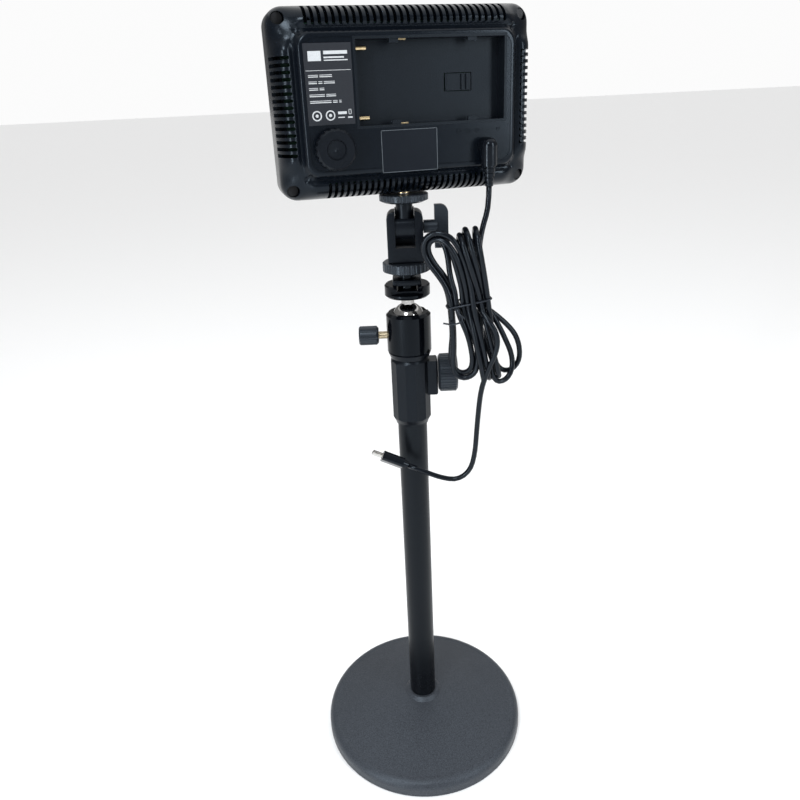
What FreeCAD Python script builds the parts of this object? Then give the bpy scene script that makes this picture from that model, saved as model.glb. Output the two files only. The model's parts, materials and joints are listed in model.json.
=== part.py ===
"""LED panel light on a weighted table stand, as separate named pieces.

Frame: +Z up, origin on the stand's axis at the level of the table, panel square with X.
The rear cover of the panel faces -Y and the diffuser faces +Y. Millimetres and degrees.
The stand, ball head and tilt bracket are turned about Z by stand_turn against the panel.
"""

import FreeCAD, Part
import math
import os
import re
import Sketcher
from FreeCAD import Placement, Rotation, Vector

# Driving dimensions: alias, value, what it is. Each becomes one aliased cell of the sheet.
DIMENSIONS = [
    ("stand_turn", -16.2, "turn of the stand parts about Z against the panel"),
    ("base_radius", 72.5, "cast base"),
    ("base_lift", 0.8, "underside of the casting above the table"),
    ("base_rim", 11.8, "height where the side meets the crown"),
    ("base_crown", 23.0, "height of the crown beside the pole collar"),
    ("rim_fillet", 6.0, "rounding of the rim"),
    ("collar_radius", 13.5, "collar round the pole socket"),
    ("collar_top", 25.2, "top of the collar"),
    ("pad_radius", 64.0, "foam pad under the base"),
    ("pad_top", 2.0, "foam pad thickness"),
    ("pole_radius", 9.4, "outer tube"),
    ("pole_bore", 8.2, "bore of the outer tube"),
    ("pole_foot", 17.0, "bottom of the pole in its socket"),
    ("pole_top", 291.5, "top of the pole inside the clamp sleeve"),
    ("sleeve_radius", 12.0, "clamp sleeve, across the flats of its facets"),
    ("sleeve_bottom", 251.6, "lower lip of the sleeve"),
    ("sleeve_top", 296.2, "upper face of the sleeve"),
    ("lug_reach", 17.0, "outer face of the clamp lug"),
    ("lug_half", 5.5, "half width of the clamp lug"),
    ("lug_bottom", 271.4, "clamp lug"),
    ("lug_top", 294.0, "clamp lug"),
    ("clamp_height", 284.3, "axis of the clamp knob"),
    ("clamp_radius", 12.0, "clamp knob"),
    ("mast_radius", 8.1, "inner tube"),
    ("mast_bore", 6.9, "bore of the inner tube"),
    ("mast_foot", 60.0, "bottom of the inner tube when it is down"),
    ("mast_top", 296.5, "top of the inner tube, under the cap's flange"),
    ("cap_top", 300.2, "top of the cap's flange, under the ball housing"),
    ("stud_radius", 3.175, "quarter-inch screw thread"),
    ("housing_radius", 13.65, "ball housing"),
    ("housing_top", 325.3, "rim of the ball housing"),
    ("ball_height", 321.0, "centre of the ball"),
    ("ball_radius", 10.0, "ball"),
    ("ball_room", 10.4, "bore of the housing round the ball"),
    ("lock_height", 310.6, "axis of the ball lock screw"),
    ("lock_radius", 2.3, "ball lock screw"),
    ("shoe_bottom", 335.5, "cold shoe disc"),
    ("shoe_top", 343.0, "cold shoe disc"),
    ("shoe_radius", 13.7, "cold shoe disc"),
    ("foot_half", 9.25, "half width of the foot in the shoe"),
    ("neck_radius", 5.6, "neck between the shoe foot and the yoke"),
    ("ring_bottom", 349.8, "shoe lock ring"),
    ("ring_top", 356.5, "shoe lock ring"),
    ("wheel_radius", 14.1, "both lock wheels"),
    ("yoke_bottom", 356.8, "tilt yoke"),
    ("yoke_top", 386.3, "tilt yoke"),
    ("yoke_half", 10.5, "half width of the yoke"),
    ("yoke_depth", 8.0, "half depth of the yoke"),
    ("yoke_gap", 5.75, "half of the gap between the arms"),
    ("gap_floor", 365.5, "bottom of the gap between the arms"),
    ("tilt_height", 376.3, "tilt axis"),
    ("bolt_radius", 2.5, "tilt bolt"),
    ("tongue_radius", 7.1, "round end of the tilt neck"),
    ("tongue_half", 5.45, "half width of the round end"),
    ("head_neck", 5.0, "neck under the lock wheel"),
    ("wheel_bottom", 391.0, "upper lock wheel"),
    ("wheel_top", 395.8, "upper lock wheel"),
    ("panel_shift", 2.5, "panel centre from the stand's axis, along X"),
    ("panel_height", 444.2, "height of the panel's centre"),
    ("panel_wide", 144.0, "panel outside, along X"),
    ("panel_tall", 96.0, "panel outside, along Z"),
    ("panel_back", 16.0, "rear face behind the panel's middle plane"),
    ("panel_front", 16.0, "front face before the middle plane"),
    ("shell_wall", 2.2, "wall of the rear cover"),
    ("vent_slot", 1.75, "width of one vent slot"),
    ("bay_wide", 81.5, "battery bay opening, along X"),
    ("bay_tall", 41.4, "battery bay opening, along Z"),
    ("bay_across", 11.5, "battery bay centre from the panel's centre"),
    ("bay_up", 10.3, "battery bay centre above the panel's centre"),
    ("bay_deep", 8.0, "battery bay depth"),
    ("bay_wall", 1.4, "wall of the battery bay"),
    ("knob_across", -43.9, "dimmer axis from the panel's centre"),
    ("knob_up", -21.1, "dimmer axis above the panel's centre"),
    ("knob_radius", 10.5, "dimmer knob"),
    ("jack_across", 41.0, "power jack axis from the panel's centre"),
    ("jack_up", -23.9, "power jack axis above the panel's centre"),
    ("plug_back", 22.2, "axis of the plug's lower leg behind the middle plane"),
    ("cord_radius", 1.6, "power cord"),
]
CELLS = {alias: value for alias, value, _ in DIMENSIONS}

doc = FreeCAD.newDocument("LedPanelLight")
sheet = doc.addObject("Spreadsheet::Sheet", "Dims")
for row, (alias, value, note) in enumerate(DIMENSIONS, start=1):
    sheet.set(f"A{row}", alias)
    sheet.set(f"B{row}", str(value))
    sheet.set(f"C{row}", note)
    sheet.setAlias(f"B{row}", alias)
doc.recompute()

pieces = {}
TURN = Rotation(Vector(0, 0, 1), CELLS["stand_turn"])
TO_X = Rotation(Vector(0, 1, 0), 90)
TO_MINUS_X = Rotation(Vector(0, 1, 0), -90)
TO_Y = Rotation(Vector(1, 0, 0), -90)
TO_MINUS_Y = Rotation(Vector(1, 0, 0), 90)


def amount(formula):
    """Number for a formula of cell names and numbers joined by + - * /."""
    total = 0.0
    for sign, term in re.findall(r"([+-]?)([^+-]+)", str(formula).replace(" ", "")):
        product = 1.0
        for step, word in re.findall(r"([*/]?)([^*/]+)", term):
            number = CELLS[word] if word in CELLS else float(word)
            product = product / number if step == "/" else product * number
        total += -product if sign == "-" else product
    return total


def bound(formula):
    """The same formula, with each cell name as the sheet's expression."""
    words = r"[a-z_]+"
    return re.sub(words, lambda found: "Dims." + found[0], str(formula))


def bind(thing, **formulas):
    """Binds properties of an object to formulas of the sheet."""
    for name, formula in formulas.items():
        thing.setExpression(name.replace("__", "."), bound(formula))


def place(thing, x=0, y=0, z=0, turn=Rotation()):
    """Placement of a primitive: a position bound to the sheet, and a turn."""
    thing.Placement = Placement(Vector(amount(x), amount(y), amount(z)), turn)
    bind(thing, Placement__Base__x=x, Placement__Base__y=y, Placement__Base__z=z)
    return thing


def box(name, corner, sizes):
    """Block from its lowest corner and its three sizes."""
    made = doc.addObject("Part::Box", name)
    bind(made, Length=sizes[0], Width=sizes[1], Height=sizes[2])
    return place(made, *corner)


def rod(name, radius, length, start=(0, 0, 0), turn=Rotation()):
    """Cylinder from the middle of its first end."""
    made = doc.addObject("Part::Cylinder", name)
    bind(made, Radius=radius, Height=length)
    return place(made, *start, turn)


def ball(name, radius, centre):
    """Sphere."""
    made = doc.addObject("Part::Sphere", name)
    bind(made, Radius=radius)
    return place(made, *centre)


def fuse(name, parts):
    """Union."""
    made = doc.addObject("Part::MultiFuse", name)
    made.Shapes = parts
    made.Refine = True
    return made


def cut(name, base, tools):
    """One object with others taken away."""
    made = doc.addObject("Part::Cut", name)
    made.Base = base
    made.Tool = tools[0] if len(tools) == 1 else fuse(name + "_tools", tools)
    made.Refine = True
    return made


def common(name, parts):
    """Intersection."""
    made = doc.addObject("Part::MultiCommon", name)
    made.Shapes = parts
    return made


def feature(name, shape):
    """Shape built with Part's own functions from the sheet's values."""
    made = doc.addObject("Part::Feature", name)
    made.Shape = shape
    return made


def rounded(name, base, radius, chosen):
    """Part fillet of the edges that chosen(edge) picks."""
    doc.recompute()
    made = doc.addObject("Part::Fillet", name)
    made.Base = base
    edges = base.Shape.Edges
    made.Edges = [(n, radius, radius) for n, e in enumerate(edges, start=1) if chosen(e)]
    return made


def plane_of(body, role):
    """Origin plane of a body, by its role."""
    return [p for p in body.Origin.OriginFeatures if p.Role == role][0]


def draw(body, name, role, corners):
    """Sketch of a closed outline; each corner is two formulas of the sheet."""
    sketch = body.newObject("Sketcher::SketchObject", name)
    sketch.AttachmentSupport = [(plane_of(body, role), "")]
    sketch.MapMode = "FlatFace"
    points = [Vector(amount(x), amount(y), 0) for x, y in corners]
    following = points[1:] + points[:1]
    for start, end in zip(points, following):
        sketch.addGeometry(Part.LineSegment(start, end), False)
    for n in range(len(points)):
        after = (n + 1) % len(points)
        sketch.addConstraint(Sketcher.Constraint("Coincident", n, 2, after, 1))
    for n, (x, y) in enumerate(corners):
        for kind, formula, axis in (("DistanceX", x, -2), ("DistanceY", y, -1)):
            size = amount(formula)
            if abs(size) < 1e-9:
                sketch.addConstraint(Sketcher.Constraint("PointOnObject", n, 1, axis))
                continue
            made = sketch.addConstraint(Sketcher.Constraint(kind, -1, 1, n, 1, size))
            sketch.setExpression(f"Constraints[{made}]", bound(formula))
    return sketch


def lathe(name, profile):
    """Body of revolution about Z from (radius, height) corners."""
    body = doc.addObject("PartDesign::Body", name)
    sketch = draw(body, name + "_profile", "XZ_Plane", profile)
    turned = body.newObject("PartDesign::Revolution", name + "_turned")
    turned.Profile = sketch
    turned.ReferenceAxis = (sketch, ["V_Axis"])
    turned.Angle = 360
    body.Tip = turned
    doc.recompute()
    return body


def round_off(body, radius, spots):
    """Fillet of a turned body's circular edges, found by (radius, height)."""
    doc.recompute()
    wanted = [(amount(r), amount(z)) for r, z in spots]
    names = []
    for n, edge in enumerate(body.Tip.Shape.Edges, start=1):
        if not isinstance(edge.Curve, Part.Circle):
            continue
        here = (edge.Curve.Radius, edge.Curve.Center.z)
        if any(math.dist(here, spot) < 0.01 for spot in wanted):
            names.append(f"Edge{n}")
    sharp = body.Tip
    made = body.newObject("PartDesign::Fillet", body.Name + "_rounding")
    made.Base = (sharp, names)
    bind(made, Radius=radius)
    body.Tip = made
    doc.recompute()
    return body


def flute(body, count, radius, reach, start, length):
    """Polar pattern of round grooves along Z round a turned body."""
    sketch = body.newObject("Sketcher::SketchObject", body.Name + "_flute")
    sketch.AttachmentSupport = [(plane_of(body, "XY_Plane"), "")]
    sketch.MapMode = "FlatFace"
    sketch.AttachmentOffset = Placement(Vector(0, 0, amount(start)), Rotation())
    middle = Vector(amount(reach), 0, 0)
    sketch.addGeometry(Part.Circle(middle, Vector(0, 0, 1), amount(radius)), False)
    sketch.addConstraint(Sketcher.Constraint("PointOnObject", 0, 3, -1))
    far = sketch.addConstraint(Sketcher.Constraint("DistanceX", -1, 1, 0, 3, middle.x))
    wide = sketch.addConstraint(Sketcher.Constraint("Radius", 0, amount(radius)))
    sketch.setExpression(f"Constraints[{far}]", bound(reach))
    sketch.setExpression(f"Constraints[{wide}]", bound(radius))
    before = body.Tip.Shape.Volume
    pocket = body.newObject("PartDesign::Pocket", body.Name + "_groove")
    pocket.Profile = sketch
    pocket.Reversed = True
    bind(pocket, Length=length)
    body.Tip = pocket
    doc.recompute()
    around = body.newObject("PartDesign::PolarPattern", body.Name + "_grooves")
    around.Originals = [pocket]
    around.Axis = (plane_of(body, "Z_Axis"), [""])
    around.Angle = 360
    around.Occurrences = count
    body.Tip = around
    doc.recompute()
    cut_once = before - pocket.Shape.Volume
    cut_all = before - around.Shape.Volume
    assert cut_once > 0 and abs(cut_all - count * cut_once) < 0.05 * cut_all, body.Name
    return body


def piece(name, made, placement=None):
    """Names a finished sub-part and puts it where it belongs."""
    if placement is not None and any("Placement" in path for path, _ in made.ExpressionEngine):
        carrier = doc.addObject("Part::Compound", name + "_placed")
        carrier.Links = [made]
        made.Label = name + "_form"
        made = carrier
    made.Label = name
    if placement is not None:
        made.Placement = placement
    pieces[name] = made
    return made


def on_stand(x=0, y=0, z=0, turn=Rotation()):
    """Placement in the stand's own frame."""
    spot = Vector(amount(x), amount(y), amount(z))
    return Placement(TURN.multVec(spot), TURN.multiply(turn))


def on_panel(x=0, y=0, z=0, turn=Rotation()):
    """Placement in the panel's own frame, from its centre."""
    spot = Vector(amount(x), amount(y), amount(z))
    centre = Vector(CELLS["panel_shift"], 0, CELLS["panel_height"])
    return Placement(centre + spot, turn)


# ---------------------------------------------------------------- weighted base and pole

base = lathe("weighted_base", [
    ("pole_radius", "pole_foot"),
    ("pole_radius", "collar_top"),
    ("pole_radius + 1.6", "collar_top"),
    ("collar_radius", "base_crown"),
    ("base_radius * 0.5", "base_crown - 4.2"),
    ("base_radius - rim_fillet * 1.1", "base_rim"),
    ("base_radius", "base_rim"),
    ("base_radius", "base_lift"),
    ("pad_radius + 0.5", "base_lift"),
    ("pad_radius + 0.5", "pad_top"),
    ("pad_radius - 6", "pad_top"),
    ("pad_radius - 10", "7.6"),
    ("15", "9"),
    ("5.1", "9"),
    ("5.1", "pole_foot"),
])
round_off(base, "rim_fillet", [("base_radius", "base_rim")])
piece("weighted_base", base)

piece("base_pad", lathe("base_pad", [
    ("15", "0"),
    ("pad_radius", "0"),
    ("pad_radius", "pad_top"),
    ("15", "pad_top"),
]))
piece("base_washer", lathe("base_washer", [("5.1", "7.4"), ("13", "7.4"), ("13", "9"), ("5.1", "9")]))

bolt_head = doc.addObject("Part::Prism", "pole_bolt_head")
bolt_head.Polygon = 6
bind(bolt_head, Circumradius="8.6", Height="5")
place(bolt_head, 0, 0, "2.4")
piece("pole_bolt", fuse("pole_bolt", [bolt_head, rod("pole_bolt_shank", "4.9", "23.6", (0, 0, "7.4"))]))
piece("pole_plug", lathe("pole_plug", [
    ("4.9", "pole_foot"),
    ("pole_bore", "pole_foot"),
    ("pole_bore", "38"),
    ("0", "38"),
    ("0", "31"),
    ("4.9", "31"),
]))

pole = lathe("outer_pole_tube", [
    ("pole_bore", "pole_foot"),
    ("pole_radius", "pole_foot"),
    ("pole_radius", "pole_top"),
    ("pole_bore", "pole_top"),
])
pole_hole = rod("outer_pole_hole", "2.6", "5", ("6.5", 0, "clamp_height"), TO_X)
piece("outer_pole", cut("outer_pole", pole, [pole_hole]), on_stand())

# ---------------------------------------------------------------- clamp sleeve and its knob

facets = doc.addObject("Part::Prism", "sleeve_facets")
facets.Polygon = 12
bind(facets, Circumradius="sleeve_radius / 0.966", Height="sleeve_top - sleeve_bottom")
place(facets, 0, 0, "sleeve_bottom", Rotation(Vector(0, 0, 1), 15))
taper = lathe("sleeve_taper", [
    ("0", "sleeve_bottom"),
    ("pole_radius + 0.9", "sleeve_bottom"),
    ("pole_radius + 1.2", "sleeve_bottom + 1.2"),
    ("sleeve_radius + 0.6", "sleeve_bottom + 5.2"),
    ("sleeve_radius + 0.6", "sleeve_top - 2.6"),
    ("sleeve_radius - 1.0", "sleeve_top"),
    ("0", "sleeve_top"),
])
lug = box("sleeve_lug", ("8", "-lug_half", "lug_bottom"),
          ("lug_reach - 8", "lug_half * 2", "lug_top - lug_bottom"))
lug_round = rounded("sleeve_lug_round", lug, 1.2, lambda e: abs(e.BoundBox.Center.x - amount("lug_reach")) < 0.01)
sleeve_solid = fuse("sleeve_solid", [common("sleeve_faceted", [facets, taper]), lug_round])
sleeve_bore = rod("sleeve_bore", "pole_radius", "pole_top - sleeve_bottom + 1", (0, 0, "sleeve_bottom - 1"))
guide_bore = rod("sleeve_guide", "pole_bore", "10", (0, 0, "pole_top - 1"))
screw_bore = rod("sleeve_screw_bore", "2.58", "14", ("6", 0, "clamp_height"), TO_X)
piece("clamp_sleeve", cut("clamp_sleeve", sleeve_solid, [sleeve_bore, guide_bore, screw_bore]), on_stand())

clamp_knob = lathe("clamp_knob", [
    ("0", "17.4"),
    ("clamp_radius - 1.6", "17.4"),
    ("clamp_radius", "18.6"),
    ("clamp_radius", "28.1"),
    ("clamp_radius - 1.4", "29.3"),
    ("clamp_radius - 4.2", "29.3"),
    ("clamp_radius - 4.8", "28.5"),
    ("0", "28.5"),
])
flute(clamp_knob, 36, "0.55", "clamp_radius + 0.15", "17", "13")
clamp_socket = rod("clamp_knob_socket", "2.5", "10.6", (0, 0, "10"), Rotation())
AT_CLAMP = on_stand(0, 0, "clamp_height", TO_X)
piece("clamp_knob", cut("clamp_knob_bored", clamp_knob, [clamp_socket]), AT_CLAMP)
piece("clamp_screw", rod("clamp_screw", "2.5", "10.4", (0, 0, "10.2")), AT_CLAMP)
piece("clamp_pad", rod("clamp_pad", "2.2", "1.7", (0, 0, "8.5")), AT_CLAMP)

# ---------------------------------------------------------------- sliding mast

mast = lathe("inner_mast", [
    ("mast_bore", "mast_foot"),
    ("mast_radius", "mast_foot"),
    ("mast_radius", "mast_top"),
    ("mast_bore", "mast_top"),
])
piece("inner_mast", mast)
piece("mast_cap", lathe("mast_cap", [
    ("stud_radius", "mast_top - 22"),
    ("mast_bore", "mast_top - 22"),
    ("mast_bore", "mast_top"),
    ("housing_radius - 1.6", "mast_top"),
    ("housing_radius - 0.4", "cap_top - 0.5"),
    ("housing_radius - 1.0", "cap_top"),
    ("stud_radius", "cap_top"),
]))
piece("mast_stud", rod("mast_stud", "stud_radius", "28.5", (0, 0, "cap_top - 21")))

# ---------------------------------------------------------------- ball head

housing_body = lathe("housing_body", [
    ("0", "cap_top"),
    ("housing_radius - 0.6", "cap_top"),
    ("housing_radius", "cap_top + 0.6"),
    ("housing_radius", "housing_top - 1.6"),
    ("housing_radius - 1.6", "housing_top"),
    ("0", "housing_top"),
])
housing_bore = rod("housing_bore", "ball_room", "ball_height - cap_top - 7.6", (0, 0, "cap_top + 7.6"))
housing_dome = ball("housing_dome", "ball_room", (0, 0, "ball_height"))
housing_thread = rod("housing_thread", "stud_radius", "10", (0, 0, "cap_top - 1"))
lock_hole = rod("housing_lock_hole", "lock_radius + 0.08", "8", ("-8", 0, "lock_height"), TO_MINUS_X)
notch_slot = box("housing_notch", ("8", "-2.7", "ball_height - 1.5"), ("8", "5.4", "8"))
notch_end = rod("housing_notch_end", "2.7", "8", ("8", 0, "ball_height - 1.5"), TO_X)
notch = fuse("housing_notch_whole", [notch_slot, notch_end])
notch.Placement = Placement(Vector(), Rotation(Vector(0, 0, 1), 24))
housing = cut("ball_housing", housing_body,
              [housing_bore, housing_dome, housing_thread, lock_hole, notch])
piece("ball_housing", housing, on_stand())

seat_body = lathe("seat_body", [
    ("0", "cap_top + 7.9"),
    ("ball_room - 0.3", "cap_top + 7.9"),
    ("ball_room - 0.3", "ball_height - 4"),
    ("0", "ball_height - 4"),
])
piece("ball_seat", cut("ball_seat", seat_body, [ball("seat_cup", "ball_radius + 0.3", (0, 0, "ball_height"))]))

hexagon = doc.addObject("Part::Prism", "ball_collar")
hexagon.Polygon = 6
bind(hexagon, Circumradius="3.9", Height="4.2")
place(hexagon, 0, 0, "ball_height + 8")
stem = rod("ball_stem", "2.1", "shoe_bottom + 2.5 - ball_height", (0, 0, "ball_height"))
piece("ball_stud", fuse("ball_stud", [ball("ball_sphere", "ball_radius", (0, 0, "ball_height")), hexagon, stem]), on_stand())

lock_knob = lathe("ball_lock_knob", [
    ("0", "18.8"),
    ("4.6", "18.8"),
    ("5.9", "20.0"),
    ("5.9", "30.0"),
    ("5.2", "30.8"),
    ("0", "30.8"),
])
flute(lock_knob, 8, "0.9", "6.1", "18", "14")
lock_socket = rod("ball_lock_socket", "lock_radius", "8", (0, 0, "17"))
AT_LOCK = on_stand(0, 0, "lock_height", TO_MINUS_X)
piece("ball_lock_knob", cut("ball_lock_knob_bored", lock_knob, [lock_socket]), AT_LOCK)
piece("ball_lock_screw", rod("ball_lock_screw", "lock_radius", "14.2", (0, 0, "10.8")), AT_LOCK)

# ---------------------------------------------------------------- cold shoe and tilt bracket

shoe_body = lathe("shoe_body", [
    ("0", "shoe_bottom"),
    ("shoe_radius - 1.0", "shoe_bottom"),
    ("shoe_radius", "shoe_bottom + 1.0"),
    ("shoe_radius", "shoe_top - 0.8"),
    ("shoe_radius - 0.8", "shoe_top"),
    ("0", "shoe_top"),
])
shoe_slot = box("shoe_slot", ("-foot_half - 0.15", "-20", "shoe_bottom + 2.5"),
                ("foot_half * 2 + 0.3", "40", "2.3"))
shoe_mouth = box("shoe_mouth", ("-6.3", "-20", "shoe_bottom + 3"), ("12.6", "40", "10"))
shoe_thread = rod("shoe_thread", "2.1", "10", (0, 0, "shoe_bottom - 2"))
piece("shoe_disc", cut("shoe_disc", shoe_body, [shoe_slot, shoe_mouth, shoe_thread]), on_stand())

foot_plate = box("foot_plate", ("-foot_half", "-9", "shoe_bottom + 2.5"), ("foot_half * 2", "18", "2"))
foot_neck = rod("foot_neck", "neck_radius", "360 - shoe_bottom - 4.5", (0, 0, "shoe_bottom + 4.5"))
piece("shoe_foot", fuse("shoe_foot", [foot_plate, foot_neck]), on_stand())

ring = lathe("shoe_lock_ring", [
    ("neck_radius + 0.08", "ring_bottom"),
    ("wheel_radius - 3.4", "ring_bottom"),
    ("wheel_radius", "ring_bottom + 1.3"),
    ("wheel_radius", "ring_top - 0.6"),
    ("wheel_radius - 0.8", "ring_top"),
    ("neck_radius + 0.08", "ring_top"),
])
flute(ring, 30, "0.8", "wheel_radius + 0.25", "ring_bottom - 1", "8")
piece("shoe_lock_ring", ring)

yoke_block = box("yoke_block", ("-yoke_half", "-yoke_depth", "yoke_bottom"),
                 ("yoke_half * 2", "yoke_depth * 2", "yoke_top - yoke_bottom"))


def yoke_corner(edge):
    """Upper outer corners of the yoke, which run along Y."""
    spot = edge.BoundBox.Center
    along_y = edge.BoundBox.YLength > 2 * CELLS["yoke_depth"] - 0.1
    return along_y and spot.z > CELLS["yoke_top"] - 0.1


def yoke_upright(edge):
    """Four upright corners of the yoke."""
    return edge.BoundBox.ZLength > 20 and edge.BoundBox.XLength < 0.1 and edge.BoundBox.YLength < 0.1


yoke_top_round = rounded("yoke_top_round", yoke_block, 4.0, yoke_corner)
yoke_round = rounded("yoke_round", yoke_top_round, 2.0, yoke_upright)
yoke_slot = box("yoke_slot", ("-yoke_gap", "-12", "gap_floor"), ("yoke_gap * 2", "24", "30"))
yoke_hole = rod("yoke_hole", "bolt_radius", "30", ("-15", 0, "tilt_height"), TO_X)
yoke_head_room = rod("yoke_head_room", "4.2", "4", ("-12.1", 0, "tilt_height"), TO_X)
yoke_socket = rod("yoke_socket", "neck_radius", "360 - yoke_bottom + 1", (0, 0, "yoke_bottom - 1"))
yoke_web = box("yoke_web", ("-yoke_gap - 0.5", "4", "gap_floor - 0.5"), ("yoke_gap * 2 + 1", "yoke_depth - 4", "3.6"))
yoke_slotted = cut("yoke_slotted", yoke_round, [yoke_slot, yoke_hole, yoke_head_room, yoke_socket])
piece("tilt_yoke", fuse("tilt_yoke", [yoke_slotted, yoke_web]), on_stand())

AT_TILT = on_stand(0, 0, "tilt_height", TO_X)
bolt_cap = rod("tilt_bolt_head", "4.1", "2.2", (0, 0, "-10.3"))
bolt_shank = rod("tilt_bolt_shank", "bolt_radius", "23.3", (0, 0, "-8.1"))
piece("tilt_bolt", fuse("tilt_bolt", [bolt_cap, bolt_shank]), AT_TILT)

wing_hub = rod("wing_hub", "3.85", "8", (0, 0, "10.9"))
wing_plate = box("wing_plate", ("-12.5", "-2.4", "17.3"), ("25", "4.8", "8"))


def wing_corner(edge):
    """Outer corners of the wing, which run along its thickness."""
    spot = edge.BoundBox.Center
    return edge.BoundBox.YLength > 4.7 and edge.BoundBox.XLength < 0.1 and spot.z > 25


wing_round = rounded("wing_round", wing_plate, 4.5, wing_corner)
wing_bore = rod("wing_bore", "bolt_radius + 0.08", "5.2", (0, 0, "10.5"))
piece("wing_knob", cut("wing_knob", fuse("wing_solid", [wing_hub, wing_round]), [wing_bore]), AT_TILT)

# ---------------------------------------------------------------- tilt neck and upper lock wheel

tongue = rod("tongue_round", "tongue_radius", "tongue_half * 2", ("-tongue_half", 0, "tilt_height"), TO_X)
head_neck = rod("head_neck_rod", "head_neck", "wheel_bottom - 0.3 - tilt_height", (0, 0, "tilt_height"))
tongue_hole = rod("tongue_hole", "bolt_radius + 0.08", "20", ("-10", 0, "tilt_height"), TO_X)
stud_hole = rod("neck_stud_hole", "stud_radius", "20", (0, 0, "tilt_height + 7.7"))
piece("tilt_neck", cut("tilt_neck", fuse("tilt_neck_solid", [tongue, head_neck]), [tongue_hole, stud_hole]), on_stand())
piece("mount_stud", rod("mount_stud", "stud_radius", "18.5", (0, 0, "tilt_height + 7.7")))

wheel = lathe("upper_lock_wheel", [
    ("stud_radius + 0.07", "wheel_bottom"),
    ("wheel_radius - 2.6", "wheel_bottom"),
    ("wheel_radius", "wheel_bottom + 1.2"),
    ("wheel_radius", "wheel_top - 0.5"),
    ("wheel_radius - 0.5", "wheel_top"),
    ("stud_radius + 0.07", "wheel_top"),
])
flute(wheel, 36, "0.6", "wheel_radius + 0.2", "wheel_bottom - 1", "8")
piece("upper_lock_wheel", wheel)

# ---------------------------------------------------------------- panel: rear cover


def outline(wide, tall, corner, y):
    """Rounded rectangle square with X and Z, at one depth."""
    u, w = wide / 2, tall / 2
    middles = [(u - corner, w - corner), (corner - u, w - corner),
               (corner - u, corner - w), (u - corner, corner - w)]
    edges = []
    ends = []
    for quarter, (x, z) in enumerate(middles):
        turns = [math.radians(90 * quarter + step) for step in (0, 45, 90)]
        arc = [Vector(x + corner * math.cos(a), y, z + corner * math.sin(a)) for a in turns]
        edges.append(Part.Arc(*arc).toShape())
        ends.append((arc[0], arc[2]))
    sides = [Part.LineSegment(ends[n][1], ends[(n + 1) % 4][0]).toShape() for n in range(4)]
    ordered = [edge for pair in zip(edges, sides) for edge in pair]
    return Part.Wire(ordered)


def loft(name, sections):
    """Ruled loft through rounded rectangles (wide, tall, corner, y)."""
    wires = [feature(f"{name}_section_{n}", outline(*s)) for n, s in enumerate(sections)]
    made = doc.addObject("Part::Loft", name)
    made.Sections = wires
    made.Solid = True
    made.Ruled = True
    return made


WIDE, TALL, BACK, FRONT = (CELLS[k] for k in ("panel_wide", "panel_tall", "panel_back", "panel_front"))
WALL = CELLS["shell_wall"]
shell_outside = loft("shell_outside", [
    (WIDE, TALL, 9, 9),
    (WIDE, TALL, 9, 0),
    (WIDE - 13, TALL - 19, 8, 5 - BACK),
    (WIDE - 20, TALL - 25, 6, 1 - BACK),
    (WIDE - 27, TALL - 29, 4, -BACK),
])
shell_inside = loft("shell_inside", [
    (WIDE - 2 * WALL, TALL - 2 * WALL, 7, 10),
    (WIDE - 2 * WALL, TALL - 2 * WALL, 7, 0.6),
    (WIDE - 18, TALL - 24, 6, 5.5 - BACK),
    (WIDE - 26, TALL - 30, 4, WALL - BACK),
])

SCREWS = [(sx * 66.0, sz * 42.2) for sx in (-1, 1) for sz in (-1, 1)]


def at_screws(name, radius, start, length):
    """The same cylinder along Y at each of the four cover screws."""
    made = [Part.makeCylinder(radius, length, Vector(x, start, z), Vector(0, 1, 0)) for x, z in SCREWS]
    return feature(name, Part.makeCompound(made))


def slots(name, count, pitch, size, centre, step):
    """Row of vent slots as one cutter."""
    made = []
    for n in range(count):
        middle = Vector(*centre) + Vector(*step) * (pitch * (n - (count - 1) / 2))
        made.append(Part.makeBox(*size, middle - Vector(*size) / 2))
    return feature(name, Part.makeCompound(made))


SLOT = CELLS["vent_slot"]
VENTS = [
    slots("vents_top", 31, 3.55, (SLOT, 13.4, 9), (0, -7.9, 43.6), (1, 0, 0)),
    slots("vents_bottom", 29, 3.35, (SLOT, 13.4, 9), (0, -7.9, -43.6), (1, 0, 0)),
    slots("vents_left", 15, 3.36, (5.8, 11.4, SLOT), (-69.5, -6.6, 0), (0, 0, 1)),
    slots("vents_right", 15, 3.36, (5.8, 11.4, SLOT), (69.5, -6.6, 0), (0, 0, 1)),
]
boss_block = at_screws("screw_bosses", 4.4, -12, 16.8)
insert_boss = box("insert_boss", ("-7 - panel_shift", "-6.5", "-panel_tall / 2 + 1"), ("14", "11.4", "10"))
shell_solid = fuse("shell_solid", [
    cut("shell_hollow", shell_outside, [shell_inside]),
    common("shell_bosses", [shell_outside, boss_block]),
    insert_boss,
])
bay_hole = box("shell_bay_hole",
               ("bay_across - bay_wide / 2 - bay_wall", "-panel_back - 1", "bay_up - bay_tall / 2 - bay_wall"),
               ("bay_wide + bay_wall * 2", "8", "bay_tall + bay_wall * 2"))
plate_recess = box("shell_plate_recess", ("-18.3", "-panel_back - 1", "-35"), ("31.5", "1.5", "21.9"))
spindle_hole = rod("shell_spindle_hole", "3.9", "8", ("knob_across", "-panel_back - 2", "knob_up"), TO_Y)
jack_hole = rod("shell_jack_hole", "4.0", "8", ("jack_across", "-panel_back - 2", "jack_up"), TO_Y)
insert_hole = rod("shell_insert_hole", "4.2", "9.8", ("-panel_shift", 0, "-panel_tall / 2 - 1"))
screw_pocket = at_screws("screw_pockets", 3.3, -20, 18.6)
screw_hole = at_screws("screw_holes", 1.4, -3, 20)
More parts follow.
